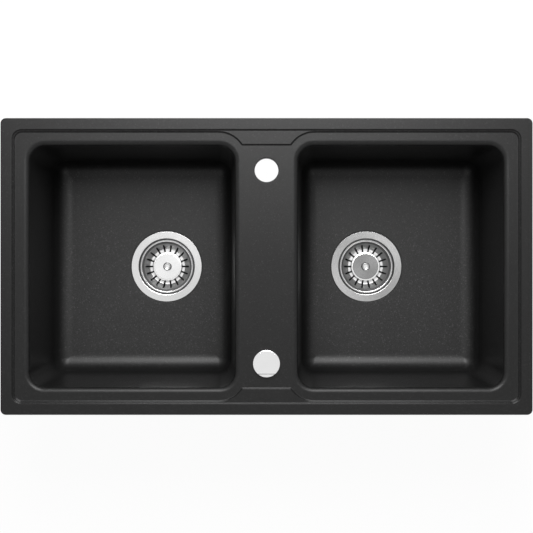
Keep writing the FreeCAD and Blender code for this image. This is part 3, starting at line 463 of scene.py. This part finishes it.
# The cup's inside and the bend into its flange are painted darker, as painted shade, and are duller than the
# flange.
CUP_PAINTED_SHADE = [(-0.23, -0.1822, -1, 0.04, 0.3), (-0.1819, -0.18, -1, 0.2, 0.3)]
# The left flange is painted lighter than the right, as painted reflection of brighter light on that side.
FLANGE_PAINTED_LIGHT = {"left": (0.55, 0.63), "right": (0.27, 0.50)}
BOLT_HOLE, GRATE_HOLE, GRATE_CIRCLE = 3.05, 5.4, 18
for side, x in DRAINS.items():
    low, high = FLANGE_PAINTED_LIGHT[side]
    steel = brushed(f"{side}_flange_steel", x, grey(low), grey(high, 0.004), 0.16, painted_fans=0.5, painted_shade_zones=CUP_PAINTED_SHADE)
    profile = eased([
        (33, CUP_FLOOR, 0), (35, CUP_FLOOR, 2.5), (41.2, -197.6, 2), (41.2, -184, 0.6), (43.6, -183.6, 0.5),
        (43.6, -181, 1.2), (45.4, -179.2, 1.6), (56.5, -179.2, 0.35), (56.5, -180, 0.35), (45.73, -180, 1.6),
        (44.4, -181.33, 1.2), (44.4, -184.4, 0.7), (42, -184.8, 0.6), (42, -197.6, 2),
        (35.4, CUP_UNDERSIDE, 3), (33, CUP_UNDERSIDE, 0),
    ])
    bm = bmesh.new()
    upper, under = turned(bm, profile, x, closed=False)
    tops, feet = [upper], [under]
    holes = [(0, 0, BOLT_HOLE)] + [(*hole, GRATE_HOLE) for hole in swing(0, 0, GRATE_CIRCLE, 0, 315, 7)]
    for hole_x, hole_y, radius in holes:
        top, foot = skin(bm, [circle(x + hole_x, hole_y, radius, z, 28) for z in (CUP_FLOOR, CUP_UNDERSIDE)])
        tops.append(top)
        feet.append(foot)
    fill(bm, tops)
    fill(bm, feet)
    cup = made(bm, f"{side}_cup", steel)
    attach(cup, "sink")
    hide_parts(f"{side}_strainer_cup")

# ---- The strainer baskets ------------------------------------------------------------------------------
# Each basket is pressed from thin stainless sheet, with a rolled rim, a smooth shoulder, and eighteen slots
# that run from its wall on to its floor. The middle is raised, turned in rings, painted lighter or darker as
# painted reflection, and carries the knob.


def link(tree, kind, inputs, settings=()):
    """One node of a Geometry Nodes tree, with its inputs set or linked."""
    added = tree.nodes.new(kind)
    for name, value in dict(settings).items():
        setattr(added, name, value)
    for name, value in inputs.items():
        if hasattr(value, "is_output"):
            tree.links.new(value, added.inputs[name])
        else:
            added.inputs[name].default_value = value
    return added


def new_tree(name, *inputs):
    """An empty Geometry Nodes tree with a shape and some named sizes going in, and a shape coming out."""
    tree = bpy.data.node_groups.new(name, "GeometryNodeTree")
    for label, kind in (("Shape", "Geometry"),) + inputs + (("Finish", "Material"),):
        tree.interface.new_socket(label, in_out="INPUT", socket_type="NodeSocket" + kind)
    tree.interface.new_socket("Shape", in_out="OUTPUT", socket_type="NodeSocketGeometry")
    return tree, tree.nodes.new("NodeGroupInput").outputs, tree.nodes.new("NodeGroupOutput").inputs


def settled(piece):
    """The piece with its modifiers worked into a plain mesh."""
    mesh = bpy.data.meshes.new_from_object(piece.evaluated_get(bpy.context.evaluated_depsgraph_get()))
    piece.modifiers.clear()
    piece.data = mesh
    return piece


def run_tree(piece, tree, **inputs):
    """Puts a piece's mesh through a tree, and gives it back as a plain mesh."""
    modifier = piece.modifiers.new("repeat", "NODES")
    modifier.node_group = tree
    for socket in tree.interface.items_tree:
        if socket.in_out == "INPUT" and socket.name in inputs:
            modifier[socket.identifier] = inputs[socket.name]
    return settled(piece)


round_tree, given, result = new_tree("repeat_round", ("Copies", "Int"), ("Seam", "Float"))
points = link(round_tree, "GeometryNodePoints", {"Count": given["Copies"]})
number = link(round_tree, "GeometryNodeInputIndex", {})
share = link(round_tree, "ShaderNodeMath", {0: number.outputs[0], 1: given["Copies"]},
             {"operation": "DIVIDE"})
turn = link(round_tree, "ShaderNodeMath", {0: share.outputs[0], 1: math.tau}, {"operation": "MULTIPLY"})
facing = link(round_tree, "ShaderNodeCombineXYZ", {"Z": turn.outputs[0]})
copies = link(round_tree, "GeometryNodeInstanceOnPoints", {
    "Points": points.outputs[0], "Instance": given["Shape"], "Rotation": facing.outputs[0],
})
whole = link(round_tree, "GeometryNodeRealizeInstances", {"Geometry": copies.outputs[0]})
sewn = link(round_tree, "GeometryNodeMergeByDistance", {
    "Geometry": whole.outputs[0], "Distance": given["Seam"],
})
dressed = link(round_tree, "GeometryNodeSetMaterial", {
    "Geometry": sewn.outputs[0], "Material": given["Finish"],
})
round_tree.links.new(dressed.outputs[0], result["Shape"])


def slotted_sheet(profile, thickness, slots, start, end, half_slot):
    """One slot's share of a turned sheet: two halves, with a top and an underside, that part at the slot."""
    bm = bmesh.new()
    slopes = [(after[0] - before[0], after[1] - before[1]) for before, after in
              zip(profile[:1] + profile, profile[1:] + profile[-1:])]
    lengths = [math.hypot(*slope) for slope in slopes]
    under = [(radius + thickness * up / length, z - thickness * out / length)
             for (radius, z), (out, up), length in zip(profile, slopes, lengths)]
    for hand in (-1, 1):
        sides = []
        for side in (profile, under):
            rows = []
            for (radius, z), (flat_radius, _) in zip(side, profile):
                inside = max(0.0, min(flat_radius - start, end - flat_radius, half_slot))
                gap = math.sqrt(half_slot ** 2 - (half_slot - inside) ** 2)
                turn = math.degrees(math.asin(gap / radius))
                arc = swing(0, 0, radius, hand * turn, hand * 180 / slots, 5)
                rows.append([bm.verts.new((x, y, z)) for x, y in arc])
            for row, after in zip(rows, rows[1:]):
                for a, b, c, d in zip(row, after, after[1:], row[1:]):
                    bm.faces.new((a, b, c, d))
            sides.append(rows)
        top, foot = sides
        parted = [row[0].co.y != 0 for row in top]
        for number in range(len(profile) - 1):
            if parted[number] or parted[number + 1]:
                bm.faces.new((top[number][0], top[number + 1][0], foot[number + 1][0], foot[number][0]))
        for end_row in (0, -1):
            for a, b, c, d in zip(top[end_row], top[end_row][1:], foot[end_row][1:], foot[end_row]):
                bm.faces.new((a, b, c, d))
    return bm


def stood(x, y, z=0, heading=0):
    """The matrix that stands something at a place and turns it to a heading in degrees."""
    return Matrix.Translation((x, y, z)) @ Matrix.Rotation(math.radians(heading), 4, "Z")


SLOTS, SLOT_START, SLOT_END, HALF_SLOT, SHEET_THICKNESS = 18, 22.8, 35.4, 1.35, 0.6
# Rows of vertices this far in from a slot's ends draw its round ends, and no face is longer than this.
SLOT_END_ROWS, LONGEST_FACE = (0.0, 0.06, 0.25, 0.55, 1.0), 1.6
# Outside the raised middle the sheet is painted darker, as painted shade, and its upper wall is duller too.
BASKET_PAINTED_SHADE = [(-0.203, -0.1895, 0.0231, 0.46, 0.12), (-0.1889, -0.183, 0.0231, 0.22, 0.42)]
# The left basket's raised middle is painted much lighter than the right one's, as painted reflection.
MIDDLE_PAINTED_LIGHT = {"left": (0.70, 0.80), "right": (0.20, 0.34)}
for side, x in DRAINS.items():
    corners = eased([
        (3.2, -197.05, 0), (20.7, -197.05, 0.4), (22.9, -197.3, 0.5), (23.9, -200.9, 0.9),
        (28.5, -200.9, 1.2), (37.0, -189.4, 1.6), (40.3, -182.3, 0.7), (42.0, -182.3, 0),
    ])
    slot_rows = [SLOT_START + step for step in SLOT_END_ROWS] + [SLOT_END - step for step in SLOT_END_ROWS]
    sheet = []
    for here, after in zip(corners, corners[1:]):
        wanted_rows = [row for row in slot_rows if here.x < row < after.x]
        between = [(row - here.x) / (after.x - here.x) for row in wanted_rows]
        parts = max(1, math.ceil((after - here).length / LONGEST_FACE))
        between += [part / parts for part in range(parts)]
        sheet += [tuple(here.lerp(after, share_out)) for share_out in sorted(between)]
    sheet.append(tuple(corners[-1]))
    steel = brushed(f"{side}_basket_steel", x, grey(0.66), grey(0.86), 0.18, depth=0.1, painted_shade_zones=BASKET_PAINTED_SHADE)
    basket = slotted_sheet(sheet, SHEET_THICKNESS, SLOTS, SLOT_START, SLOT_END, HALF_SLOT)
    basket = made(basket, f"{side}_basket_sheet", steel)
    run_tree(basket, round_tree, Copies=SLOTS, Seam=0.01 * MM, Finish=steel)
    basket.data.transform(stood(x * MM, 0))
    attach(basket, f"{side}_strainer_basket")
    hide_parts(f"{side}_basket")

    bead = bmesh.new()
    section = [math.radians(step) for step in range(0, 360, 20)]
    turned(bead, [(42.1 + 1.15 * math.cos(turn), -182.75 + 0.85 * math.sin(turn)) for turn in section], x)
    rim_steel = brushed(f"{side}_basket_rim_steel", x, grey(0.20), grey(0.30), 0.4, depth=0.05)
    bead = made(bead, f"{side}_basket_rim", rim_steel)
    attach(bead, f"{side}_strainer_basket")

    low, high = MIDDLE_PAINTED_LIGHT[side]
    disc_steel = brushed(f"{side}_basket_middle_steel", x, grey(low), grey(high), 0.14, fine=1400, painted_fans=0.35)
    disc = bmesh.new()
    turned(disc, eased([
        (2.6, -196.92, 0), (20.6, -196.92, 0.3), (20.9, -197.05, 0.1), (20.6, -197.3, 0.1), (2.6, -197.3, 0),
    ]), x)
    disc = made(disc, f"{side}_basket_middle", disc_steel)
    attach(disc, f"{side}_strainer_basket")

# ---- The knobs, plug plates and plugs ------------------------------------------------------------------
# A small knob turned from bright steel lifts each basket. Its stem runs through the raised middle to a plate
# and a rubber plug, which closes the grate when the basket is pressed down.


def patchy(name, patches, tones, roughness, spread, dimples, strength, dimple_detail=2.0, **sockets):
    """A finish that drifts between two tones and two roughnesses in soft patches, with fine dimples."""
    finish, shader, place = new_finish(name, **sockets)
    drift = noise(place, patches, 3)
    feed(shader, Base_Color=drift.blend(*tones), Roughness=roughness + drift * spread,
         Normal=noise(place, dimples, dimple_detail).bump(strength, 0.0001))
    return finish


def rubbery(name, low, high):
    """Moulded rubber with a pale bloom."""
    return patchy(name, 240, (grey(low), grey(high)), 0.55, 0.25, 2600, 0.2, 1.0, Specular_IOR_Level=0.35)


for side, x in DRAINS.items():
    # The outer edge of the knob's head is painted dark: painted shade.
    bright = brushed(f"{side}_knob_steel", x, grey(0.68), grey(0.86), 0.1, depth=0.03,
                     painted_shade_zones=[(-0.2, -0.19, 0.0046, 0.22, 0.0)])
    bm = bmesh.new()
    turned(bm, eased([
        (0, -192.1, 0), (3.3, -192.1, 0.8), (4.4, -190.95, 0.6), (5.6, -190.95, 1.0), (6.7, -192.4, 0.8),
        (6.7, -193.9, 0.8), (4.2, -195.3, 0.8), (4.2, -196.9, 0.3), (2.5, -196.9, 0.2), (2.5, -217.7, 0.2),
        (0, -217.7, 0),
    ]), x, count=64, closed=False)
    knob = made(bm, f"{side}_knob", bright)
    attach(knob, f"{side}_strainer_basket")
    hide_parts(f"{side}_basket_knob")

    dull = brushed(f"{side}_plate_steel", x, grey(0.42), grey(0.64), 0.3)
    dress(f"{side}_plug_plate", dull)
    dress(f"{side}_plug_seal", rubbery(f"{side}_plug_rubber", 0.012, 0.03))

# ---- The gaskets, waste pots and bolts -----------------------------------------------------------------
# Under each drain a pot moulded from white polypropylene is drawn up against the bowl by one steel bolt, with
# rubber gaskets above and below the granite. It has grip ribs, a cross for the bolt, a port and a thread.


def moulded(name, low, high, roughness=0.38):
    """Moulded plastic, a little cloudy, with a faint orange peel."""
    return patchy(name, 45, (grey(low), grey(high)), roughness, 0.16, 1100, 0.12, Specular_IOR_Level=0.45)


def seen_from_above(across, up, along):
    return across, up, along


def seen_from_front(across, up, along):
    return across, along, up


def seen_from_end(across, up, along):
    return along, across, up


def prism(bm, outline, low, high, seen_from):
    """A solid from one end to the other, with an outline that is drawn as seen from above, front or end."""
    first, last = skin(bm, [
        [Vector(seen_from(across, up, along)) for across, up in outline] for along in (low, high)
    ])
    fill(bm, [first])
    fill(bm, [last])


def cut(piece, cutter):
    """Takes a closed cutter, built in millimetres, out of a piece."""
    cutter = made(cutter, "cutter", piece.data.materials[0])
    modifier = piece.modifiers.new("cut", "BOOLEAN")
    modifier.object = cutter
    modifier.operation = "DIFFERENCE"
    modifier.solver = "EXACT"
    settled(piece)
    piece.data.set_sharp_from_angle(angle=CREASE)
    bpy.data.objects.remove(cutter)
    return piece


# A thread's ridge rises from nothing at this many heights per turn. Its foot is sunk this far into the rod.
THREAD_RISE, THREAD_SUNK = 1.5, 0.25


def thread(bm, x, y, root, crest, pitch, foot, top, around=40):
    """A ridge wound up a rod or a spigot, that fades out at both ends."""
    turns = (top - foot - pitch) / pitch
    count = int(turns * around)
    rows = []
    for step in range(count + 1):
        angle = math.tau * step / around
        z = foot + pitch * step / around
        risen = min(1, THREAD_RISE * step / around, THREAD_RISE * (count - step) / around)
        reach = root + (crest - root) * risen
        sunk = root - THREAD_SUNK
        section = ((sunk, 0.04), (reach, 0.38), (reach, 0.62), (sunk, 0.96))
        rows.append([
            bm.verts.new((x + radius * math.cos(angle), y + radius * math.sin(angle), z + up * pitch))
            for radius, up in section
        ])
    for row, after in zip(rows, rows[1:]):
        for number in range(4):
            bm.faces.new((row[number], row[(number + 1) % 4], after[(number + 1) % 4], after[number]))
    bm.faces.new(rows[0])
    bm.faces.new(rows[-1])


def lying(bm, x, y, z, heading):
    """Lays what was built upright along a level heading, its foot on the upright axis at (x, y)."""
    lowered = stood(x, y, z, heading) @ Matrix.Rotation(math.radians(90), 4, "Y")
    bmesh.ops.transform(bm, matrix=lowered, verts=bm.verts)


# Each pot's port points at the overflow pipe, or mirrors the one that does.
PORT_HEADINGS = {"left": -41.47, "right": 180 + 41.47}
PORT_Z, PORT_BORE = -211, 7.5
POT_FLOOR, POT_UNDERSIDE, OUTLET_FOOT = -240.8, -243.4, -267.4
POT_ARMS, POT_GRIPS = 4, 24
for side, x in DRAINS.items():
    heading = PORT_HEADINGS[side]
    dress(f"{side}_flange_gasket", rubbery(f"{side}_flange_rubber", 0.012, 0.03))
    dress(f"{side}_pot_gasket", rubbery(f"{side}_pot_rubber", 0.10, 0.16))
    white = moulded(f"{side}_pot_white", 0.70, 0.80)
    bm = bmesh.new()
    turned(bm, eased([
        (47.4, -218, 0), (47.4, -195, 0.6), (58, -195, 0.8), (58, -199, 0.8), (50, -199, 1.2),
        (50, -241.6, 2.6), (47.8, POT_UNDERSIDE, 1.2), (23, POT_UNDERSIDE, 1.2), (23, OUTLET_FOOT, 0.9),
        (20, OUTLET_FOOT, 0.9), (20, POT_FLOOR, 1.2), (47.4, POT_FLOOR, 2.2), (47.4, -218, 0),
    ])[:-1], x)
    pot = made(bm, f"{side}_pot", white)
    bore = bmesh.new()
    turned(bore, [(0, 40), (PORT_BORE, 40), (PORT_BORE, 60), (0, 60)], count=40, closed=False)
    lying(bore, x, 0, PORT_Z, heading)
    cut(pot, bore)
    outlet = bmesh.new()
    thread(outlet, x, 0, 23, 23.9, 2.31, -265.6, -248)
    port = bmesh.new()
    turned(port, eased([
        (PORT_BORE, 60, 0), (PORT_BORE, 80, 0.5), (9.6, 80, 0.6), (10, 78.6, 0.4), (10, 53, 1.6),
        (12.4, 49.2, 0.6), (PORT_BORE, 49.2, 0.3), (PORT_BORE, 60, 0),
    ])[:-1], count=56)
    lying(port, x, 0, PORT_Z, heading)
    hub = bmesh.new()
    turned(hub, eased([
        (0, POT_FLOOR, 0), (7, POT_FLOOR, 1), (7, CUP_UNDERSIDE, 0.8), (BOLT_HOLE, CUP_UNDERSIDE, 0.3),
        (BOLT_HOLE, -237.8, 0.5), (0, -237.8, 0),
    ]), x, count=56, closed=False)
    arm = bmesh.new()
    arm_outline = eased([
        (20, -226.8, 0), (5, -226.8, 0.4), (5, POT_FLOOR, 0.4), (48.7, POT_FLOOR, 1.4), (48.7, -226.8, 0.8),
        (20, -226.8, 0),
    ], 30)[:-1]
    prism(arm, arm_outline, -1.5, 1.5, seen_from_front)
    grip = bmesh.new()
    prism(grip, swing(49.6, 0, 1.7, -90, 90, 8), -238.5, -199.6, seen_from_above)
    for built, name, copies in (
        (outlet, "thread", 1), (port, "port", 1), (hub, "hub", 1), (arm, "cross", POT_ARMS),
        (grip, "grips", POT_GRIPS),
    ):
        part = made(built, f"{side}_pot_{name}", white)
        if copies > 1:
            run_tree(part, round_tree, Copies=copies, Seam=0.0, Finish=white)
            part.data.transform(stood(x * MM, 0))
        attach(part, "sink")
        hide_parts(f"{side}_waste_pot")
    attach(pot, "sink")
    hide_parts(f"{side}_waste_pot")

    bolt_steel = brushed(f"{side}_bolt_steel", x, grey(0.44), grey(0.62), 0.2)
    bm = bmesh.new()
    turned(bm, eased([
        (0, -236.6, 0), (2.6, -236.6, 0.5), (2.6, CUP_FLOOR, 0.2), (5.5, CUP_FLOOR, 0.3), (5.5, -218.9, 1.6),
        (0, -218.4, 0),
    ]), x, count=48, closed=False)
    bolt = made(bm, f"{side}_bolt", bolt_steel)
    slot_cutter = bmesh.new()
    prism(slot_cutter, [(-0.55, -219.7), (0.55, -219.7), (0.55, -217), (-0.55, -217)], x - 8, x + 8,
          seen_from_end)
    cut(bolt, slot_cutter)
    bm = bmesh.new()
    thread(bm, x, 0, 2.6, 3, 1, -236, -223, 20)
    bolt_thread = made(bm, f"{side}_bolt_thread", bolt_steel)
    for part in (bolt, bolt_thread):
        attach(part, "sink")
        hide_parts(f"{side}_waste_bolt")

# ---- The overflow cap ----------------------------------------------------------------------------------
# A round chrome-plated cap presses into the overflow hole. A line across it marks off a front part, which
# slopes down to the inlet in its edge. Three sprung legs underneath hold it in the bush.


def bevelled(piece, width, angle):
    """Eases the piece's edges that turn by more than an angle in degrees."""
    bevel = piece.modifiers.new("soften", "BEVEL")
    bevel.width = width * MM
    bevel.limit_method = "ANGLE"
    bevel.angle_limit = math.radians(angle)
    return settled(piece)


# The line is a groove between these distances from the sink's middle; its band is painted darker than the
# plating, as painted shade.
GROOVE_BACK, GROOVE_FRONT = -157, -158
chrome, shader, place = new_finish("overflow_chrome", Metallic=1.0)
haze = noise(place, 60, 3)
forward = place.node("SeparateXYZ", {}, {0: place}, out="Y")
level = place.node("SeparateXYZ", {}, {0: place}, out="Z")
# Painted shade in the groove.
line = forward.between((GROOVE_FRONT - 0.1) * MM, (GROOVE_FRONT + 0.2) * MM)
line = line * forward.between((GROOVE_BACK - 0.1) * MM, (GROOVE_BACK + 0.2) * MM, 1.0, 0.0)
line = line * level.between(0.0125, 0.0126)
plating = haze.blend(grey(0.74), grey(0.79))
feed(shader, Base_Color=line.blend(plating, grey(0.3)), Roughness=0.1 + haze * 0.06,
     Normal=noise(place, 420, 2).bump(0.04, 0.0001))
bm = bmesh.new()
turned(bm, eased([
    (0, 13.6, 0), (20, 13.6, 1.5), (20, 8.7, 0.35), (18.8, 8.7, 0.35), (18.8, 11.6, 0.8), (13.2, 11.6, 0.4),
    (13.2, -3.6, 0.3), (12, -3.6, 0.3), (12, 11.6, 0.4), (0, 11.6, 0),
]), 0, OVERFLOW_Y, count=128, closed=False)
cap = made(bm, "overflow_cap_plate", chrome)
groove = bmesh.new()
prism(groove, [
    (GROOVE_BACK, 15), (GROOVE_BACK, 12.7), (GROOVE_FRONT, 12.7), (GROOVE_FRONT, 13.3),
    (-163, 12.1), (-163, 15),
], -30, 30, seen_from_end)
cut(cap, groove)
inlet = bmesh.new()
prism(inlet, [(-11, 8.3), (-11, 10.4), (-10.5, 10.9), (10.5, 10.9), (11, 10.4), (11, 8.3)], -166, -159.6,
      seen_from_front)
cut(cap, inlet)
for heading in (90, 210, 330):
    gap = bmesh.new()
    prism(gap, [(-7.25, -5), (7.25, -5), (7.25, 8), (5, 10), (-5, 10), (-7.25, 8)], 9, 16, seen_from_end)
    bmesh.ops.transform(gap, verts=gap.verts, matrix=stood(0, OVERFLOW_Y, heading=heading))
    cut(cap, gap)
bevelled(cap, 0.12, 40)
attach(cap, "overflow_cover")
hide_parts("overflow_cap")

# ---- The overflow's bush, hopper and pipe --------------------------------------------------------------
# A grey threaded bush clamps a white hopper and its gasket under the hole. A rigid grey pipe runs down
# between the bowls to the left waste, held by spring clips. A push-on cap closes the right waste's port.
dress("overflow_bush", moulded("bush_grey", 0.22, 0.28))
dress("overflow_gasket", rubbery("overflow_rubber", 0.10, 0.16))
dress("overflow_pipe", moulded("pipe_grey", 0.30, 0.37, 0.3))
dress("port_cap", moulded("port_cap_grey", 0.25, 0.31))
white = moulded("hopper_white", 0.70, 0.80)
HOPPER_GRIPS = 16
shell = bmesh.new()
turned(shell, eased([
    (15.55, -16, 0), (15.55, -6, 0.4), (25, -6, 0.6), (25, -9, 0.8), (19, -9, 1.2), (19, -26, 1.6),
    (10, -34, 2), (10, -56, 0.6), (7.5, -56, 0.6), (7.5, -35, 1.5), (15.55, -27.6, 1.5), (15.55, -16, 0),
])[:-1], 0, OVERFLOW_Y)
grip = bmesh.new()
prism(grip, swing(18.7, 0, 1.3, -90, 90, 8), -24.4, -9.4, seen_from_above)
for built, name, copies in ((shell, "shell", 1), (grip, "grips", HOPPER_GRIPS)):
    part = made(built, f"overflow_hopper_{name}", white)
    if copies > 1:
        run_tree(part, round_tree, Copies=copies, Seam=0.0, Finish=white)
        part.data.transform(stood(0, OVERFLOW_Y * MM))
    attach(part, "sink")
    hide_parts("overflow_hopper")
for name in ("upper", "lower"):
    spring = patchy(f"{name}_clip_steel", 380, (grey(0.36), grey(0.54)), 0.22, 0.16, 1500, 0.1, Metallic=1.0)
    dress(f"overflow_{name}_clip", spring)

# ---- The worktop clamps --------------------------------------------------------------------------------
# Eight clamps hold the sink down: a brass insert pressed into a boss, a zinc-plated screw from below, and a
# strap bent from zinc-plated strip that swings out under the worktop.
TARNISHED, BRIGHT = (0.56, 0.38, 0.14, 1), (0.74, 0.54, 0.24, 1)
brass = patchy("insert_brass", 300, (TARNISHED, BRIGHT), 0.24, 0.2, 1700, 0.15, Metallic=1.0)
dress("clamp_inserts", brass)

zinc, shader, place = new_finish("clamp_zinc", Metallic=1.0)
spangle = grains(place, 260)
smear = noise(place, 90, 4)
feed(shader, Base_Color=(spangle * 0.5 + smear * 0.5).blend((0.46, 0.48, 0.50, 1), (0.66, 0.68, 0.69, 1)),
     Roughness=0.26 + smear * 0.2, Normal=noise(place, 1300, 2).bump(0.1, 0.0001))
STRAP_UNDER, STRAP_TOP, STRAP_TIP, STRAP_HEEL = -44.5, -42, -38.3, -12.3
HALF_STRAP_WIDTH = 7
# The screws' heads are this far from the straps, which swing over them.
HEAD_GAP = 0.06
bm = bmesh.new()
prism(bm, eased([
    (8, STRAP_UNDER, 0), (24, STRAP_UNDER, 1.2), (24, STRAP_TIP, 0.9), (21.5, STRAP_TIP, 0.9),
    (21.5, STRAP_TOP, 0.5), (-5.5, STRAP_TOP, 1), (-5.5, STRAP_HEEL, 0.9), (-8, STRAP_HEEL, 0.9),
    (-8, STRAP_UNDER, 3.4), (8, STRAP_UNDER, 0),
], 15)[:-1], -HALF_STRAP_WIDTH, HALF_STRAP_WIDTH, seen_from_front)
pattern = made(bm, "clamp_strap_pattern", zinc)
hole = bmesh.new()
turned(hole, [(0, -46), (2.8, -46), (2.8, -40), (0, -40)], count=40, closed=False)
cut(pattern, hole)
bevelled(pattern, 0.3, 50)
for name, (x, y, heading) in CLAMP_PLACES.items():
    strap = bpy.data.objects.new(f"clamp_{name}_bent_strip", pattern.data.copy())
    strap.data.transform(stood(x * MM, y * MM, heading=heading))
    bpy.context.collection.objects.link(strap)
    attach(strap, f"clamp_{name}_strap")
    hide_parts(f"clamp_{name}")
bpy.data.objects.remove(pattern)

at_places, given, result = new_tree("repeat_at_places", ("Fitting", "Object"))
fitting = link(at_places, "GeometryNodeObjectInfo", {"Object": given["Fitting"]})
copies = link(at_places, "GeometryNodeInstanceOnPoints", {
    "Points": given["Shape"], "Instance": fitting.outputs["Geometry"],
})
whole = link(at_places, "GeometryNodeRealizeInstances", {"Geometry": copies.outputs[0]})
dressed = link(at_places, "GeometryNodeSetMaterial", {
    "Geometry": whole.outputs[0], "Material": given["Finish"],
})
at_places.links.new(dressed.outputs[0], result["Shape"])

head_top = STRAP_UNDER - HEAD_GAP
bm = bmesh.new()
turned(bm, eased([
    (0, -47.9, 0), (4.8, -47.5, 1.4), (4.8, head_top, 0.3), (2.1, head_top, 0.2), (2.1, -2, 0.4), (0, -2, 0),
]), count=40, closed=False)
screw = made(bm, "clamp_screw", zinc)
for wide, long in ((0.5, 2.7), (2.7, 0.5)):
    recess = bmesh.new()
    prism(recess, [(-wide, -49), (wide, -49), (wide * 0.8, -46), (-wide * 0.8, -46)], -long, long,
          seen_from_end)
    cut(screw, recess)
bm = bmesh.new()
thread(bm, 0, 0, 2.1, 2.5, 0.8, -43.6, -2.6, 14)
wound = made(bm, "clamp_screw_thread", zinc)
for fitting, name in ((screw, "heads"), (wound, "threads")):
    spots = bpy.data.meshes.new(f"clamp_screw_{name}")
    spots.from_pydata([(x * MM, y * MM, 0) for x, y, _ in CLAMP_PLACES.values()], [], [])
    screws = bpy.data.objects.new(f"clamp_screw_{name}", spots)
    bpy.context.collection.objects.link(screws)
    run_tree(screws, at_places, Fitting=fitting, Finish=zinc)
    bpy.data.objects.remove(fitting)
    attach(screws, "sink")
    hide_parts("clamp_screws")

# ---- Floor, light and surroundings ---------------------------------------------------------------------
# The sink stands on its waste pots over a plain pale floor, which is clear from below. A broad soft lamp
# behind its back edge does most of the lighting, under a soft patch of sky and white surroundings.


def seen(wire):
    """1 for rays that reach the camera straight or by way of something shiny or clear, and 0 for others."""
    path = wire.node("LightPath", {}, {}).socket.node
    rays = [Wire(wire.tree, path.outputs[f"Is {kind} Ray"]) for kind in ("Camera", "Glossy", "Transmission")]
    return (rays[0] + rays[1] + rays[2]).between(0, 1)


floor_finish, shader, place = new_finish("pale_floor", Roughness=0.9)
tree = floor_finish.node_tree
cloud = noise(place, 3, 2)
feed(shader, Base_Color=cloud.blend(grey(0.86), grey(0.90)))
wire = Wire(tree)
glow = wire.node("Emission", {}, {"Color": (1, 1, 1, 1), "Strength": 1.0})
mixed = wire.node("MixShader", {}, {0: seen(wire) * 0.95, 2: glow})
tree.links.new(shader.outputs[0], mixed.socket.node.inputs[1])
under = wire.node("NewGeometry", {}, {}, out="Backfacing")
clear = wire.node("BsdfTransparent", {}, {})
one_sided = wire.node("MixShader", {}, {0: under, 1: mixed, 2: clear})
tree.links.new(one_sided.socket, tree.nodes["Material Output"].inputs["Surface"])
HALF_FLOOR, FLOOR_LEVEL = 4000, -268
bm = bmesh.new()
bmesh.ops.create_grid(bm, x_segments=8, y_segments=8, size=HALF_FLOOR)
bmesh.ops.translate(bm, verts=bm.verts, vec=(0, 0, FLOOR_LEVEL))
floor = made(bm, "floor", floor_finish)
# The floor is clear from behind, so its faces have to point up.
if floor.data.polygons[0].normal.z < 0:
    floor.data.flip_normals()

world = bpy.data.worlds.new("studio")
world.use_nodes = True
bpy.context.scene.world = world
wire = Wire(world.node_tree)
shown = seen(wire)
sky = wire.node("TexCoord", {}, {}, out="Generated")
# The world is white where it is seen. As light it is a bright patch nearly overhead, dim around that, with a
# pale band low down.
overhead = sky.node("VectorMath", {"operation": "DOT_PRODUCT"}, {0: sky, 1: (0, 0.14, 0.990)}, out="Value")
low_down = sky.node("SeparateXYZ", {}, {0: sky}, out="Z").between(0.05, 0.2, 0.7, 0.0)
dome = overhead.between(0.78, 0.88, 0.10, 1.1) + low_down
background = world.node_tree.nodes["Background"]
background.inputs["Color"].default_value = (1, 1, 1, 1)
world.node_tree.links.new((shown + (1 - shown) * dome).socket, background.inputs["Strength"])

lamp = bpy.data.lights.new("softbox_behind", "AREA")
lamp.shape = "RECTANGLE"
lamp.size, lamp.size_y = 0.95, 1.05
lamp.energy = 37
softbox = bpy.data.objects.new("softbox_behind", lamp)
softbox.location = (0.0, 0.86, 1.2)
softbox.rotation_euler = (-softbox.location).to_track_quat("-Z", "Y").to_euler()
bpy.context.collection.objects.link(softbox)
